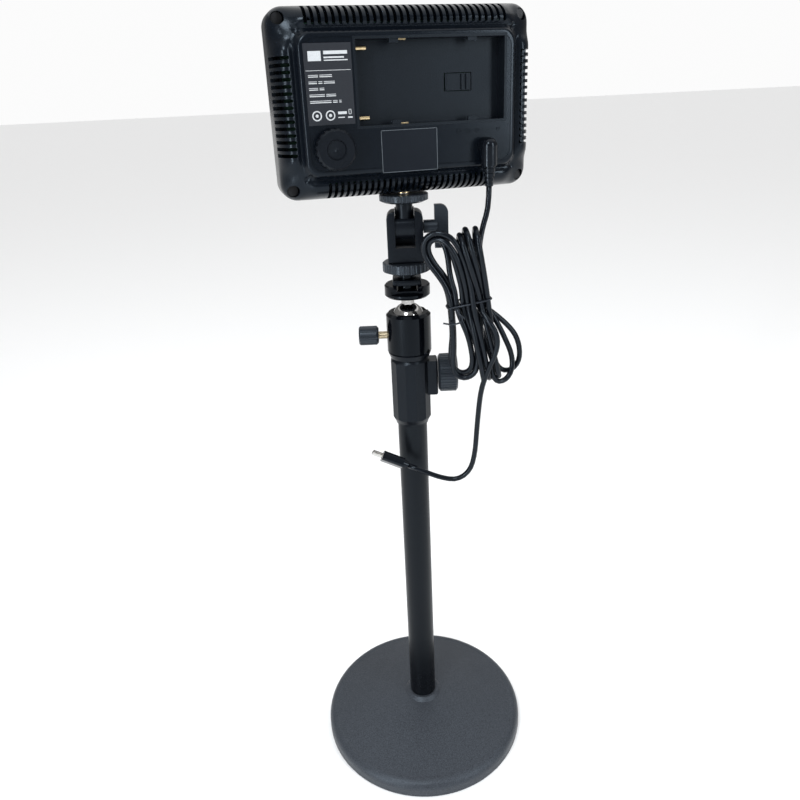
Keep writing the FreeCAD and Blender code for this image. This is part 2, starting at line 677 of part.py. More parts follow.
rear_shell = cut("rear_shell", shell_solid, VENTS + [
    bay_hole, plate_recess, spindle_hole, jack_hole, insert_hole, screw_pocket, screw_hole])
piece("rear_shell", rear_shell, on_panel())

screw_heads = [Part.makeCylinder(2.9, 1.6, Vector(x, -3.0, z), Vector(0, 1, 0)) for x, z in SCREWS]
screw_shanks = [Part.makeCylinder(1.4, 12.4, Vector(x, -1.4, z), Vector(0, 1, 0)) for x, z in SCREWS]
shell_screws = [head.fuse(shank).removeSplitter() for head, shank in zip(screw_heads, screw_shanks)]
piece("shell_screws", feature("shell_screws", Part.makeCompound(shell_screws)), on_panel())

insert = rod("insert_outer", "4.2", "8.8", ("-panel_shift", 0, "-panel_tall / 2"))
insert_thread = rod("insert_thread", "stud_radius", "12", ("-panel_shift", 0, "-panel_tall / 2 - 1"))
piece("tripod_insert", cut("tripod_insert", insert, [insert_thread]), on_panel())

# ---------------------------------------------------------------- panel: front and light source

bezel_outside = loft("bezel_outside", [
    (WIDE, TALL, 9, 9),
    (WIDE, TALL, 9, FRONT - 1.6),
    (WIDE - 3.2, TALL - 3.2, 7.4, FRONT),
])
bezel_skirt = loft("bezel_skirt", [(133, 85, 4, 5), (133, 85, 4, 9)])
bezel_window = loft("bezel_window", [(125, 77, 3, 5), (125, 77, 3, FRONT + 1)])
bezel_rabbet = loft("bezel_rabbet", [(130, 82, 3, 9.6), (130, 82, 3, 13)])
bezel_ledge = loft("bezel_ledge", [(128, 80, 3, 7), (128, 80, 3, 9.8)])
bezel_board = loft("bezel_board_room", [(130.2, 82.2, 3, 4), (130.2, 82.2, 3, 7.8)])
bezel_pilots = at_screws("bezel_pilots", 1.4, 4, 7.4)
bezel_solid = fuse("bezel_solid", [bezel_outside, bezel_skirt])
piece("front_bezel", cut("front_bezel", bezel_solid,
                         [bezel_window, bezel_rabbet, bezel_ledge, bezel_board, bezel_pilots]), on_panel())
piece("diffuser", loft("diffuser", [(130, 82, 3, 11), (130, 82, 3, 13)]), on_panel())
board_form = loft("led_board", [(130, 82, 3, 6.2), (130, 82, 3, 7.8)])
piece("led_board", board_form, on_panel())
leds = [Part.makeBox(3, 0.8, 3, Vector(12 * column - 55.5, 7.8, 12 * row - 31.5))
        for column in range(10) for row in range(6)]
piece("led_chips", feature("led_chips", Part.makeCompound(leds)), on_panel())

# ---------------------------------------------------------------- panel: battery bay

bay_block = box("bay_block",
                ("bay_across - bay_wide / 2 - bay_wall", "-panel_back", "bay_up - bay_tall / 2 - bay_wall"),
                ("bay_wide + bay_wall * 2", "bay_deep + bay_wall", "bay_tall + bay_wall * 2"))
bay_room = box("bay_room", ("bay_across - bay_wide / 2", "-panel_back - 1", "bay_up - bay_tall / 2"),
               ("bay_wide", "bay_deep + 1", "bay_tall"))
latch_window = box("latch_window", ("20.4", "-panel_back + bay_deep - 1", "4.6"), ("15.9", "4", "9.4"))
latch_socket = rod("latch_socket", "0.55", "12", ("21.9", "-panel_back + bay_deep + 0.7", "3.3"))
bay_hooks = []
for number, across in enumerate((31.5, -11.5)):
    for edge, low in (("upper", "bay_up + bay_tall / 2 - 2"), ("lower", "bay_up - bay_tall / 2")):
        bay_hooks.append(box(f"bay_hook_{edge}_{number}", (across, "-panel_back + 0.6", low), ("5", "1.6", "2")))
bay_tub = cut("bay_tub", bay_block, [bay_room, latch_window, latch_socket])
piece("battery_bay", fuse("battery_bay", [bay_tub] + bay_hooks), on_panel())

latch_tongue = box("latch_tongue", ("21.9", "-panel_back + bay_deep", "5.0"), ("13.9", "1.2", "8.6"))
latch_root = rod("latch_root", "0.8", "8.6", ("21.9", "-panel_back + bay_deep + 0.7", "5.0"))
latch_pivot = rod("latch_pivot", "0.5", "11.4", ("21.9", "-panel_back + bay_deep + 0.7", "3.6"))
latch_ribs = [box(f"latch_rib_{n}", (across, "-panel_back + bay_deep - 0.9", "5.4"), ("1", "1.1", "7.8"))
              for n, across in enumerate((30.2, 33.0))]
piece("battery_latch", fuse("battery_latch", [latch_tongue, latch_root, latch_pivot] + latch_ribs), on_panel())

BAY_END = amount("bay_across - bay_wide / 2")
pins = [Part.makeCylinder(1.1, 6, Vector(BAY_END, -12, z), Vector(1, 0, 0)) for z in (27.0, -6.7)]
piece("battery_contacts", feature("battery_contacts", Part.makeCompound(pins)), on_panel())
BAY_LOW, BAY_HIGH = amount("bay_up - bay_tall / 2"), amount("bay_up + bay_tall / 2")
springs = [Part.makeBox(4, 2.4, 0.6, Vector(-5.5, -11.5, z)) for z in (BAY_LOW, BAY_HIGH - 0.6)]
piece("rail_springs", feature("rail_springs", Part.makeCompound(springs)), on_panel())

# ---------------------------------------------------------------- panel: controls and labels

piece("rating_label", box("rating_label", ("-56.2", "-panel_back - 0.2", "-9"), ("24.4", "0.2", "38.6")),
      on_panel())
piece("blank_label", box("blank_label", ("-17.9", "-panel_back + 0.2", "-34.6"), ("30.7", "0.3", "21.1")),
      on_panel())

dial = lathe("dimmer_knob", [
    ("0", "17.0"),
    ("knob_radius - 0.6", "17.0"),
    ("knob_radius", "17.6"),
    ("knob_radius", "22.4"),
    ("knob_radius - 1.2", "23.6"),
    ("5.2", "23.6"),
    ("4.6", "22.4"),
    ("1.1", "22.2"),
    ("0", "21.8"),
])
flute(dial, 20, "1.1", "knob_radius + 0.6", "16", "9")
dial_socket = rod("dimmer_knob_socket", "3.0", "4.2", (0, 0, "16.5"))
AT_DIAL = on_panel("knob_across", 0, "knob_up", TO_MINUS_Y)
piece("dimmer_knob", cut("dimmer_knob_bored", dial, [dial_socket]), AT_DIAL)
piece("dimmer_spindle", rod("dimmer_spindle", "3.0", "11.1", (0, 0, "9.6")), AT_DIAL)
pot_bush = rod("pot_bush", "3.9", "5.2", (0, 0, "9.3"))
pot_case = box("pot_case", ("-6", "-6", "5"), ("12", "12", "4.3"))
pot_bore = rod("pot_bore", "3.07", "6", (0, 0, "9.3"))
piece("dimmer_pot", cut("dimmer_pot", fuse("pot_solid", [pot_bush, pot_case]), [pot_bore]), AT_DIAL)
piece("control_board", box("control_board", ("-60", "-5", "-36.4"), ("116", "1.6", "23")),
      on_panel())

AT_JACK = on_panel("jack_across", 0, "jack_up", TO_MINUS_Y)
jack_case = box("jack_case", ("-4.5", "-6", "5"), ("9", "12", "8.8"))
jack_collar = rod("jack_collar", "4.0", "3.2", (0, 0, "12.8"))
jack_room = rod("jack_room", "2.85", "10", (0, 0, "7"))
jack_pin = rod("jack_pin", "1.0", "7.4", (0, 0, "6.8"))
jack_shell = cut("jack_shell", fuse("jack_solid", [jack_case, jack_collar]), [jack_room])
piece("dc_jack", fuse("dc_jack", [jack_shell, jack_pin]), AT_JACK)

# ---------------------------------------------------------------- elbow plug in the jack

plug_leg = rod("plug_leg", "4.4", "10.5", ("jack_across", "-plug_back", "jack_up - 10.5"))
plug_top = ball("plug_top", "4.4", ("jack_across", "-plug_back", "jack_up"))
plug_arm = rod("plug_arm", "4.4", "plug_back - 16.3", ("jack_across", "-plug_back", "jack_up"), TO_Y)
plug_barrel = rod("plug_barrel", "2.75", "9", ("jack_across", "-16.5", "jack_up"), TO_Y)
plug_bore = rod("plug_bore", "1.05", "9", ("jack_across", "-16", "jack_up"), TO_Y)
plug_solid = fuse("plug_solid", [plug_leg, plug_top, plug_arm, plug_barrel])
piece("dc_plug", cut("dc_plug", plug_solid, [plug_bore]), on_panel())

relief_profile = [("0", "-21.5"), ("cord_radius + 0.7", "-21.5")]
for rib in range(4):
    low, reach = -21.5 + 2.6 * rib, 2.3 + 0.34 * rib
    relief_profile += [(f"{reach:.2f}", f"{low + 1.7:.2f}"), (f"{reach - 0.45:.2f}", f"{low + 1.9:.2f}"),
                       (f"{reach - 0.45:.2f}", f"{low + 2.4:.2f}"), (f"{reach + 0.3:.2f}", f"{low + 2.6:.2f}")]
relief_profile += [("3.7", "-10.9"), ("3.7", "-10.5"), ("0", "-10.5")]
AT_RELIEF = on_panel("jack_across", "-plug_back", "jack_up")
piece("strain_relief", lathe("strain_relief", relief_profile), AT_RELIEF)

# ---------------------------------------------------------------- power cord


def tube(name, points, radius):
    """Round tube along straight runs joined by tangent arcs; prints the arcs' radii."""
    points = [Vector(*p) for p in points]
    edges, radii, here = [], [], points[0]
    length = 0.0
    for before, corner, after in zip(points, points[1:], points[2:]):
        inward = (corner - before).normalize()
        outward = (after - corner).normalize()
        half = math.acos(max(-1, min(1, inward.dot(outward)))) / 2
        shorter = min(before.distanceToPoint(corner), corner.distanceToPoint(after))
        reach = 0.45 * shorter
        start, end = corner - inward * reach, corner + outward * reach
        arc_radius = reach / math.tan(half)
        bisector = (outward - inward).normalize()
        centre = corner + bisector * (arc_radius / math.cos(half))
        middle = centre - bisector * arc_radius
        edges.append(Part.LineSegment(here, start).toShape())
        edges.append(Part.Arc(start, middle, end).toShape())
        radii.append(arc_radius)
        length += here.distanceToPoint(start) + 2 * half * arc_radius
        here = end
    edges.append(Part.LineSegment(here, points[-1]).toShape())
    length += here.distanceToPoint(points[-1])
    path = Part.Wire(edges)
    first = (points[1] - points[0]).normalize()
    section = Part.Wire([Part.Circle(points[0], first, radius).toShape()])
    solid = path.makePipeShell([section], True, False)
    whole = math.pi * radius**2 * length
    print(f"{name}: length {length:.1f}, volume ratio {solid.Volume / whole:.4f}, radii",
          [round(r, 1) for r in radii])
    return feature(name, solid)


def stand_spot(x, y, z):
    """A point of the panel's frame in the stand's frame."""
    return tuple(TURN.inverted().multVec(Vector(x, y, z)))


RELIEF_END = stand_spot(amount("panel_shift + jack_across"), amount("-plug_back"),
                        amount("panel_height + jack_up - 21.5"))
LEAD = [
    RELIEF_END,
    (RELIEF_END[0], RELIEF_END[1], 387.6),
    (46.6, -10.6, 376.4),
    (44.9, -13.2, 365.4),
    (42.8, -17.4, 355.4),
]
TAIL = [
    (44.2, -25.2, 294.0),
    (42.0, -24.8, 280.0),
    (40.2, -24.0, 266.4),
    (39.2, -23.1, 252.4),
    (38.4, -22.2, 238.4),
    (35.6, -21.4, 225.0),
    (27.2, -20.6, 217.8),
    (16.2, -19.8, 219.8),
    (5.8, -18.8, 224.2),
    (-4.0, -18.0, 228.4),
]
piece("cord_lead", tube("cord_lead", LEAD, CELLS["cord_radius"]), on_stand())
piece("cord_tail", tube("cord_tail", TAIL, CELLS["cord_radius"]), on_stand())

# Sections of the hank: height, middle across, half width, half depth
HANK_DEPTH = -20.9
HANK = [
    (377.4, 30.0, 8.0, 3.4),
    (374.0, 27.6, 15.0, 6.2),
    (365.0, 27.6, 18.2, 6.9),
    (358.5, 28.8, 16.9, 6.9),
    (351.5, 31.6, 14.9, 6.8),
    (343.8, 33.9, 12.8, 6.2),
    (336.0, 35.0, 12.2, 5.8),
    (332.0, 35.8, 12.4, 5.8),
    (326.0, 38.3, 14.7, 6.2),
    (318.0, 40.0, 16.0, 6.6),
    (308.0, 42.2, 17.9, 6.9),
    (300.0, 42.7, 17.7, 6.9),
    (295.0, 43.5, 15.5, 6.6),
    (290.0, 45.6, 10.5, 5.4),
    (287.6, 44.8, 6.0, 3.4),
]


def oval(z, across, half_width, half_depth):
    """Elliptical section of the hank."""
    curve = Part.Ellipse(Vector(across, HANK_DEPTH, z), half_width, half_depth)
    return Part.Wire([curve.toShape()])


hank = Part.makeLoft([oval(*section) for section in HANK], True, True)
piece("cord_hank", feature("cord_hank", hank), on_stand())

tie_outer = Part.makeLoft([oval(332.8, 35.6, 13.6, 7.1), oval(335.2, 35.2, 13.6, 7.1)], True, True)
piece("twist_tie", feature("twist_tie", tie_outer.cut(hank)), on_stand())

PLUG_LINE = Rotation(Vector(0, 0, 1), Vector(*TAIL[-1]) - Vector(*TAIL[-2]))
PLUG_ROLL = Rotation(Vector(0, 0, 1), 35)
AT_USB = on_stand(*TAIL[-1], PLUG_LINE.multiply(PLUG_ROLL))
usb_block = box("usb_block", ("-3.1", "-5.2", "3.5"), ("6.2", "10.4", "14"))
usb_grip = rounded("usb_grip", usb_block, 2.2, lambda e: abs(e.BoundBox.ZLength - 14) < 0.01)
usb_neck = doc.addObject("Part::Cone", "usb_neck")
bind(usb_neck, Radius1="cord_radius + 0.6", Radius2="3.0", Height="3.5")
piece("usb_plug", fuse("usb_plug", [usb_grip, usb_neck]), AT_USB)
usb_bar = box("usb_bar", ("-1.2", "-4.12", "17.5"), ("2.4", "8.24", "6.6"))
usb_bar_round = rounded("usb_bar_round", usb_bar, 1.15, lambda e: abs(e.BoundBox.ZLength - 6.6) < 0.01)
usb_room = box("usb_room", ("-0.85", "-3.6", "18.2"), ("1.7", "7.2", "8"))
piece("usb_shell", cut("usb_shell", usb_bar_round, [usb_room]), AT_USB)

# ---------------------------------------------------------------- checks and files

doc.recompute()
broken = [o.Name for o in doc.Objects if "Invalid" in o.State or "Error" in o.State]
assert not broken, broken
os.makedirs("parts", exist_ok=True)
for name, made in sorted(pieces.items()):
    shape = made.Shape
    assert not shape.isNull() and shape.isValid(), name
    assert shape.Volume > 0, name
    shape.exportStep(f"parts/{name}.step")
    box_now = shape.BoundBox
    print(f"{name:18s} solids {len(shape.Solids):2d} volume {shape.Volume:10.1f}  "
          f"x {box_now.XMin:7.1f} {box_now.XMax:7.1f}  y {box_now.YMin:7.1f} {box_now.YMax:7.1f}  "
          f"z {box_now.ZMin:7.1f} {box_now.ZMax:7.1f}")
print(len(pieces), "pieces")
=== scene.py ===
"""LED panel light on a table stand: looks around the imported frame."""

import json
import math

import bmesh
import bpy
import numpy as np
from mathutils import Matrix, Vector


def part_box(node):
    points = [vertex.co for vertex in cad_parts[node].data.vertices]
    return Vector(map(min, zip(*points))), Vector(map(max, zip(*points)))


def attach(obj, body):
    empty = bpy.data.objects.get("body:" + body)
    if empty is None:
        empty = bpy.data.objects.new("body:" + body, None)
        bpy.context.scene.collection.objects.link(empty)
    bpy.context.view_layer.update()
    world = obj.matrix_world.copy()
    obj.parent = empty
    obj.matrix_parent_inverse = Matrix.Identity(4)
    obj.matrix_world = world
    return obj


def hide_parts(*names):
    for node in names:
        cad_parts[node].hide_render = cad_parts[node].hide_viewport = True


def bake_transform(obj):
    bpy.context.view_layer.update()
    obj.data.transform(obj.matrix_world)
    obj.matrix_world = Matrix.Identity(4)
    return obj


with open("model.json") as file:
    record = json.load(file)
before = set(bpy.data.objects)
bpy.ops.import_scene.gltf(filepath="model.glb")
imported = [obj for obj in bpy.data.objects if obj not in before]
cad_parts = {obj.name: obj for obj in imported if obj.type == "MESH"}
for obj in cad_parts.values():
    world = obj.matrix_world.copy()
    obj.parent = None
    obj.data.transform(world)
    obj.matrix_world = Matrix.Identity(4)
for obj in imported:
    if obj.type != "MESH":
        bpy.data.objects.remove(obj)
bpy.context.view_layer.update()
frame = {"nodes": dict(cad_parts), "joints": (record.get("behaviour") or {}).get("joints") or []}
NODES = frame["nodes"]
JOINTS = {j["name"]: j for j in frame["joints"]}
MM = 0.001

# The matrix from the stand's own frame to the row frame, and the height of the tilt bolt (mm)
STAND_X = Vector(JOINTS["head_tilt"]["axis"])
STAND_Y = Vector((0, 0, 1)).cross(STAND_X)
STAND = Matrix((STAND_X, STAND_Y, Vector((0, 0, 1)))).transposed().to_4x4()
TILT_Z = JOINTS["head_tilt"]["pos_m"][2] / MM

# The panel's centre and outline, in millimetres
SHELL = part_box("rear_shell")
PANEL_X = (SHELL[0].x + SHELL[1].x) / 2 / MM
PANEL_Z = (SHELL[0].z + SHELL[1].z) / 2 / MM
WIDE = (SHELL[1].x - SHELL[0].x) / MM
TALL = (SHELL[1].z - SHELL[0].z) / MM
PANEL = Matrix.Translation(Vector((PANEL_X, 0, PANEL_Z)) * MM)


def stand_point(x, y, z):
    """A point of the stand's frame (mm) in the row frame (m)."""
    return (STAND @ Vector((x, y, z))) * MM


def smooth(t):
    """Smooth 0 to 1."""
    t = min(1, max(0, t))
    return t * t * (3 - 2 * t)


# ---------------------------------------------------------------- camera

camera = bpy.data.objects.new("camera", bpy.data.cameras.new("camera"))
bpy.context.scene.collection.objects.link(camera)
bpy.context.scene.camera = camera
# Where the camera stands (m), and its own axes
EYE = Vector((-0.11366, -0.39110, 0.44706))
LOOK = Vector((0.24418607, 0.89814528, -0.36566134))
RIGHT = Vector((0.95953877, -0.27830418, -0.0428035))
UP = Vector((0.14020884, 0.34041421, 0.92976322))
camera.matrix_world = Matrix.Translation(EYE) @ Matrix((RIGHT, UP, -LOOK)).transposed().to_4x4()
camera.data.sensor_width = 36
camera.data.lens = 31.19
camera.data.shift_x = 0.0009
camera.data.shift_y = -0.0378
camera.data.clip_start = 0.01
camera.data.clip_end = 50

# ---------------------------------------------------------------- power cord

# The cord's thickness and the points of its free stretches, in millimetres and in the stand's frame
CORD = 3.2
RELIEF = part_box("strain_relief")
RELIEF_END = STAND.inverted() @ Vector(
    ((RELIEF[0].x + RELIEF[1].x) / 2, (RELIEF[0].y + RELIEF[1].y) / 2, RELIEF[0].z)) / MM
LEAD = [
    (RELIEF_END.x, RELIEF_END.y, RELIEF_END.z + 2.5),
    (RELIEF_END.x, RELIEF_END.y, 387.6),
    (44.4, -10.8, 377.4),
    (42.0, -13.4, 367.0),
    (41.6, -15.0, 355.4),
    (43.0, -16.2, 344.4),
]
TAIL_OUT = [(42.4, -26.6, 330.4), (46.0, -30.6, 325.8), (49.4, -31.6, 320.6), (50.8, -31.6, 313.6),
            (49.0, -31.4, 305.8), (45.6, -30.4, 297.4)]
TAIL = [
    (42.8, -28.6, 288.4),
    (41.2, -26.2, 279.4),
    (40.2, -24.0, 266.4),
    (39.2, -23.1, 252.4),
    (38.4, -22.2, 238.4),
    (35.6, -21.4, 225.0),
    (27.2, -20.6, 217.8),
    (16.2, -19.8, 219.8),
    (5.8, -18.8, 224.2),
    (-4.0, -18.0, 228.4),
]

# The strands' places in the tie: columns across, and rows front, middle and back
COLUMN = [25.0, 28.2, 31.4, 34.6, 37.8, 41.2, 44.6]
ROW = {"F": -24.6, "M": -21.0, "K": -17.4}
TIE_Z = 334.5


def tied(name):
    """A strand's place in the tie, such as 0F for the leftmost in front."""
    return np.array([COLUMN[int(name[0])], ROW[name[1]], TIE_Z])


# The stretch of a half turn over which it goes from its first depth to its second, as shares of it
CROSS_FROM, CROSS_OVER = 0.3, 0.4
# Height above or below the tie where a strand has left its place in the tie
FAN_HEIGHT = 24
# Height of a fold's shoulders past the ends of its legs, as a share of the fold's width
SHOULDER = 0.36
# Points on each leg of a fold
LEG_POINTS = 4


def turn(start, end, shape, first, second):
    """One half turn from the tie and back: its (across, height) points, and its depth before and after."""
    points = [start]
    for n, (x, z) in enumerate(shape):
        crossed = smooth((n / (len(shape) - 1) - CROSS_FROM) / CROSS_OVER)
        depth = first + (second - first) * crossed
        tie = start if n * 2 < len(shape) else end
        near = min(1, abs(z - TIE_Z) / FAN_HEIGHT)
        points.append(np.array([x, tie[1] * (1 - near) + depth * near, z]))
    return points


def hairpin(start, end, x, z, first, second):
    """Half turn that folds over in depth, its far end at (x, z)."""
    up = 1 if z > TIE_Z else -1
    middle = z - up * abs(second - first) / 2
    shoulder = middle + up * abs(second - first) * SHOULDER
    leg = [TIE_Z + (middle - TIE_Z) * n / LEG_POINTS for n in range(1, LEG_POINTS + 1)]
    shape = []
    for n, height in enumerate(leg + [shoulder, z, shoulder] + leg[::-1]):
        tie = start if n <= LEG_POINTS else end
        shape.append((tie[0] + (x - tie[0]) * (height - TIE_Z) / (z - TIE_Z), height))
    return turn(start, end, shape, first, second)


# The half turns that don't fold over in depth, as (across, height) points
LOOPS = {
    "top_outer": [(22.9, 343.8), (18.6, 351.5), (13.6, 358.5), (10.3, 365.8), (11.2, 373.0), (17.2, 376.6),
                  (24.4, 374.4), (29.0, 368.4), (32.2, 361.0), (34.8, 353.0), (36.8, 343.8)],
    "top_second": [(24.6, 343.8), (20.6, 351.5), (15.6, 358.6), (12.8, 365.6), (13.8, 371.0), (18.4, 373.4),
                   (23.6, 371.2), (27.6, 365.8), (30.2, 359.5), (32.0, 352.4), (33.6, 343.8)],
    "top_third": [(23.2, 343.8), (18.9, 351.5), (13.9, 358.8), (10.4, 365.0), (10.8, 371.6), (16.0, 374.6),
                  (21.6, 371.2), (24.8, 364.0), (27.0, 357.4), (29.0, 350.6), (30.6, 343.6)],
    "top_inner": [(23.6, 343.8), (19.4, 351.6), (14.6, 358.4), (10.8, 364.0), (11.0, 370.6), (16.0, 374.2),
                  (21.4, 371.2), (23.8, 364.0), (24.6, 355.6), (25.8, 348.4), (27.4, 342.4)],
    "low_outer": [(33.6, 326.0), (36.8, 317.0), (38.8, 309.0), (39.0, 300.6), (37.2, 293.6), (31.8, 290.6),
                  (26.6, 293.2), (25.4, 300.8), (25.8, 310.0), (25.4, 318.0), (25.2, 326.0)],
    "low_inner": [(31.0, 326.0), (34.4, 317.6), (36.4, 309.6), (37.4, 301.4), (35.8, 294.8), (30.4, 292.4),
                  (26.0, 296.6), (25.4, 305.0), (26.2, 314.0), (26.0, 320.4), (25.6, 327.0)],
    "low_back": [(36.4, 326.0), (39.4, 317.6), (41.0, 309.0), (41.2, 300.4), (39.4, 293.0), (33.2, 289.8),
                 (27.0, 292.8), (26.4, 301.6), (26.4, 310.0), (26.2, 318.0), (25.8, 326.0)],
    "low_right": [(48.4, 327.0), (52.6, 319.0), (56.4, 310.6), (59.6, 302.0), (60.0, 293.6), (56.4, 287.6),
                  (50.4, 286.8), (46.8, 293.4), (47.2, 303.0), (47.0, 314.0), (46.0, 324.6)],
    "stray": [(47.0, 329.0), (51.6, 325.0), (57.2, 319.6), (62.4, 312.8), (65.0, 304.8), (64.8, 296.4),
              (60.4, 290.6), (54.0, 290.6), (50.0, 297.0), (50.0, 306.0), (48.8, 315.0), (47.0, 325.0)],
}
OVER_TIE = np.array([37.8, -28.4, TIE_Z])
TAIL_TIE = np.array([40.4, -22.8, TIE_Z])


def hank():
    """Control points of the whole hank, from the lead down to the tail."""
    t = tied
    turns = [
        turn(t("6K"), t("6F"), LOOPS["low_right"], -19.4, -25.6),
        hairpin(t("6F"), t("5K"), 38.0, 377.6, -28.8, -14.0),
        turn(t("5K"), t("6M"), LOOPS["stray"], -15.4, -16.4),
        hairpin(t("6M"), t("4K"), 33.6, 377.4, -28.6, -14.0),
        hairpin(t("4K"), t("5F"), 52.8, 289.8, -14.0, -28.6),
        hairpin(t("5F"), t("3K"), 30.0, 374.4, -28.6, -14.0),
        turn(t("3K"), t("0K"), LOOPS["low_back"], -15.4, -17.0),
        turn(t("0K"), t("1F"), LOOPS["top_inner"], -15.4, -23.8),
        turn(t("1F"), t("0M"), LOOPS["low_inner"], -26.6, -18.4),
        turn(t("0M"), t("2F"), LOOPS["top_third"], -18.4, -24.4),
        turn(t("2F"), t("0F"), LOOPS["low_outer"], -26.6, -23.6),
        turn(t("0F"), OVER_TIE, LOOPS["top_outer"], -22.6, -27.4),
        hairpin(OVER_TIE, t("1M"), 47.8, 289.0, -28.8, -14.0),
        turn(t("1M"), t("3F"), LOOPS["top_second"], -20.0, -26.0),
        hairpin(t("3F"), t("5M"), 43.4, 287.6, -28.6, -14.0),
        hairpin(t("5M"), TAIL_TIE, 36.4, 371.0, -14.2, -28.6),
    ]
    return np.array([point for points in turns for point in points] + [TAIL_TIE])


# Settling the strands: how many rounds, and points looked at in each span of the line
ROUNDS, PER_SPAN = 90, 4
# Strands are pushed to this distance apart, unless they are this near along the cord
CLEARANCE, NEAR_ALONG = CORD * 1.03, 3.5 * CORD
# Each round evens out neighbouring shifts and lets every shift fade
EVENING, FADING = 0.2, 0.985
# The space that the hank keeps to
HANK_LOW, HANK_HIGH = [9.0, -30.4, 285.6], [66.0, -13.8, 379.0]


def settle(points):
    """Moves the control points until the strands lie a cord's thickness apart instead of in each other."""
    count = len(points)
    points = points.copy()
    points[1:-1] += (2 * points[1:-1] - points[:-2] - points[2:]) / 8
    basis = np.zeros(((count - 2) * PER_SPAN, count))
    for s in range(count - 2):
        for n in range(PER_SPAN):
            t = (n + 0.5) / PER_SPAN
            basis[s * PER_SPAN + n, s:s + 3] = (1 - t) ** 2 / 2, (1 + 2 * t - 2 * t * t) / 2, t * t / 2
    pull = basis.T / basis.sum(axis=0)[:, None]
    rest = points.copy()
    shift = np.zeros_like(points)
    for _ in range(ROUNDS):
        line = basis @ (rest + shift)
        along = np.concatenate([[0], np.cumsum(np.linalg.norm(np.diff(line, axis=0), axis=1))])
        gap = line[:, None] - line[None]
        far = np.linalg.norm(gap, axis=2)
        close = (far < CLEARANCE) & (np.abs(along[:, None] - along[None]) > NEAR_ALONG)
        push = np.where(close, (CLEARANCE - far) / np.maximum(far, 0.1), 0)[:, :, None]
        shift += pull @ (0.5 * gap * push).sum(axis=1)
        shift[1:-1] += EVENING * (shift[:-2] + shift[2:] - 2 * shift[1:-1])
        shift *= FADING
        shift[0] = shift[-1] = 0
        shift = np.clip(rest + shift, HANK_LOW, HANK_HIGH) - rest
    return rest + shift


ROUTE = LEAD + [tuple(p) for p in settle(hank())] + TAIL_OUT + TAIL


def spline_line(name, points, resolution):
    """Points along the smooth line that has the given control points, in metres."""
    curve = bpy.data.curves.new(name, "CURVE")
    curve.dimensions = "3D"
    spline = curve.splines.new("NURBS")
    spline.points.add(len(points) - 1)
    for place, point in zip(spline.points, points):
        place.co = (*stand_point(*point), 1)
    spline.order_u = 3
    spline.use_endpoint_u = True
    spline.resolution_u = resolution
    carrier = bpy.data.objects.new(name, curve)
    mesh = bpy.data.meshes.new_from_object(carrier)
    line = np.array([v.co for v in mesh.vertices], float)
    bpy.data.meshes.remove(mesh)
    bpy.data.objects.remove(carrier)
    bpy.data.curves.remove(curve)
    return line


def tube_faces(rings, sides):
    """Faces of a closed tube: from each ring of vertices to the next, and over both ends."""
    faces = []
    for k in range(rings - 1):
        for s in range(sides):
            a, b = k * sides + s, k * sides + (s + 1) % sides
            faces.append((a, b, b + sides, a + sides))
    return faces + [tuple(reversed(range(sides))), tuple(range((rings - 1) * sides, rings * sides))]


def sweep(name, line, radius, sides):
    """Mesh tube round a line, its rings carried along without twist."""
    tangent = np.gradient(line, axis=0)
    tangent /= np.linalg.norm(tangent, axis=1)[:, None]
    normal = np.cross(tangent[0], [0, 0, 1.0])
    if np.linalg.norm(normal) < 1e-3:
        normal = np.cross(tangent[0], [0, 1.0, 0])
    normal /= np.linalg.norm(normal)
    rings = []
    angle = np.arange(sides) * 2 * math.pi / sides
    for point, way in zip(line, tangent):
        normal = normal - way * (normal @ way)
        normal /= np.linalg.norm(normal)
        side = np.cross(way, normal)
        rings.append(point + (np.outer(np.cos(angle), normal) + np.outer(np.sin(angle), side)) * radius)
    mesh = bpy.data.meshes.new(name)
    mesh.from_pydata([tuple(v) for v in np.concatenate(rings)], [], tube_faces(len(line), sides))
    mesh.shade_smooth()
    made = bpy.data.objects.new(name, mesh)
    bpy.context.scene.collection.objects.link(made)
    return made


CORD_LINE = spline_line("cord_line", ROUTE, 3)
power_cord = sweep("power_cord", CORD_LINE, CORD / 2 * MM, 14)

# ---------------------------------------------------------------- materials

# Tint of the shine on what isn't metal, the scale of wear, and the depth of the bumps (m)
COOL_SHINE = (0.74, 0.87, 1, 1)
WEAR_SCALE = 35
BUMP_DEPTH = 0.0004
# The middle stretch of a noise, where nearly all of its values lie
NOISE_LOW, NOISE_HIGH = 0.3, 0.7


def fill(node, values):
    """Sets inputs of a shader node by their names."""
    for name, value in values.items():
        node.inputs[name].default_value = value


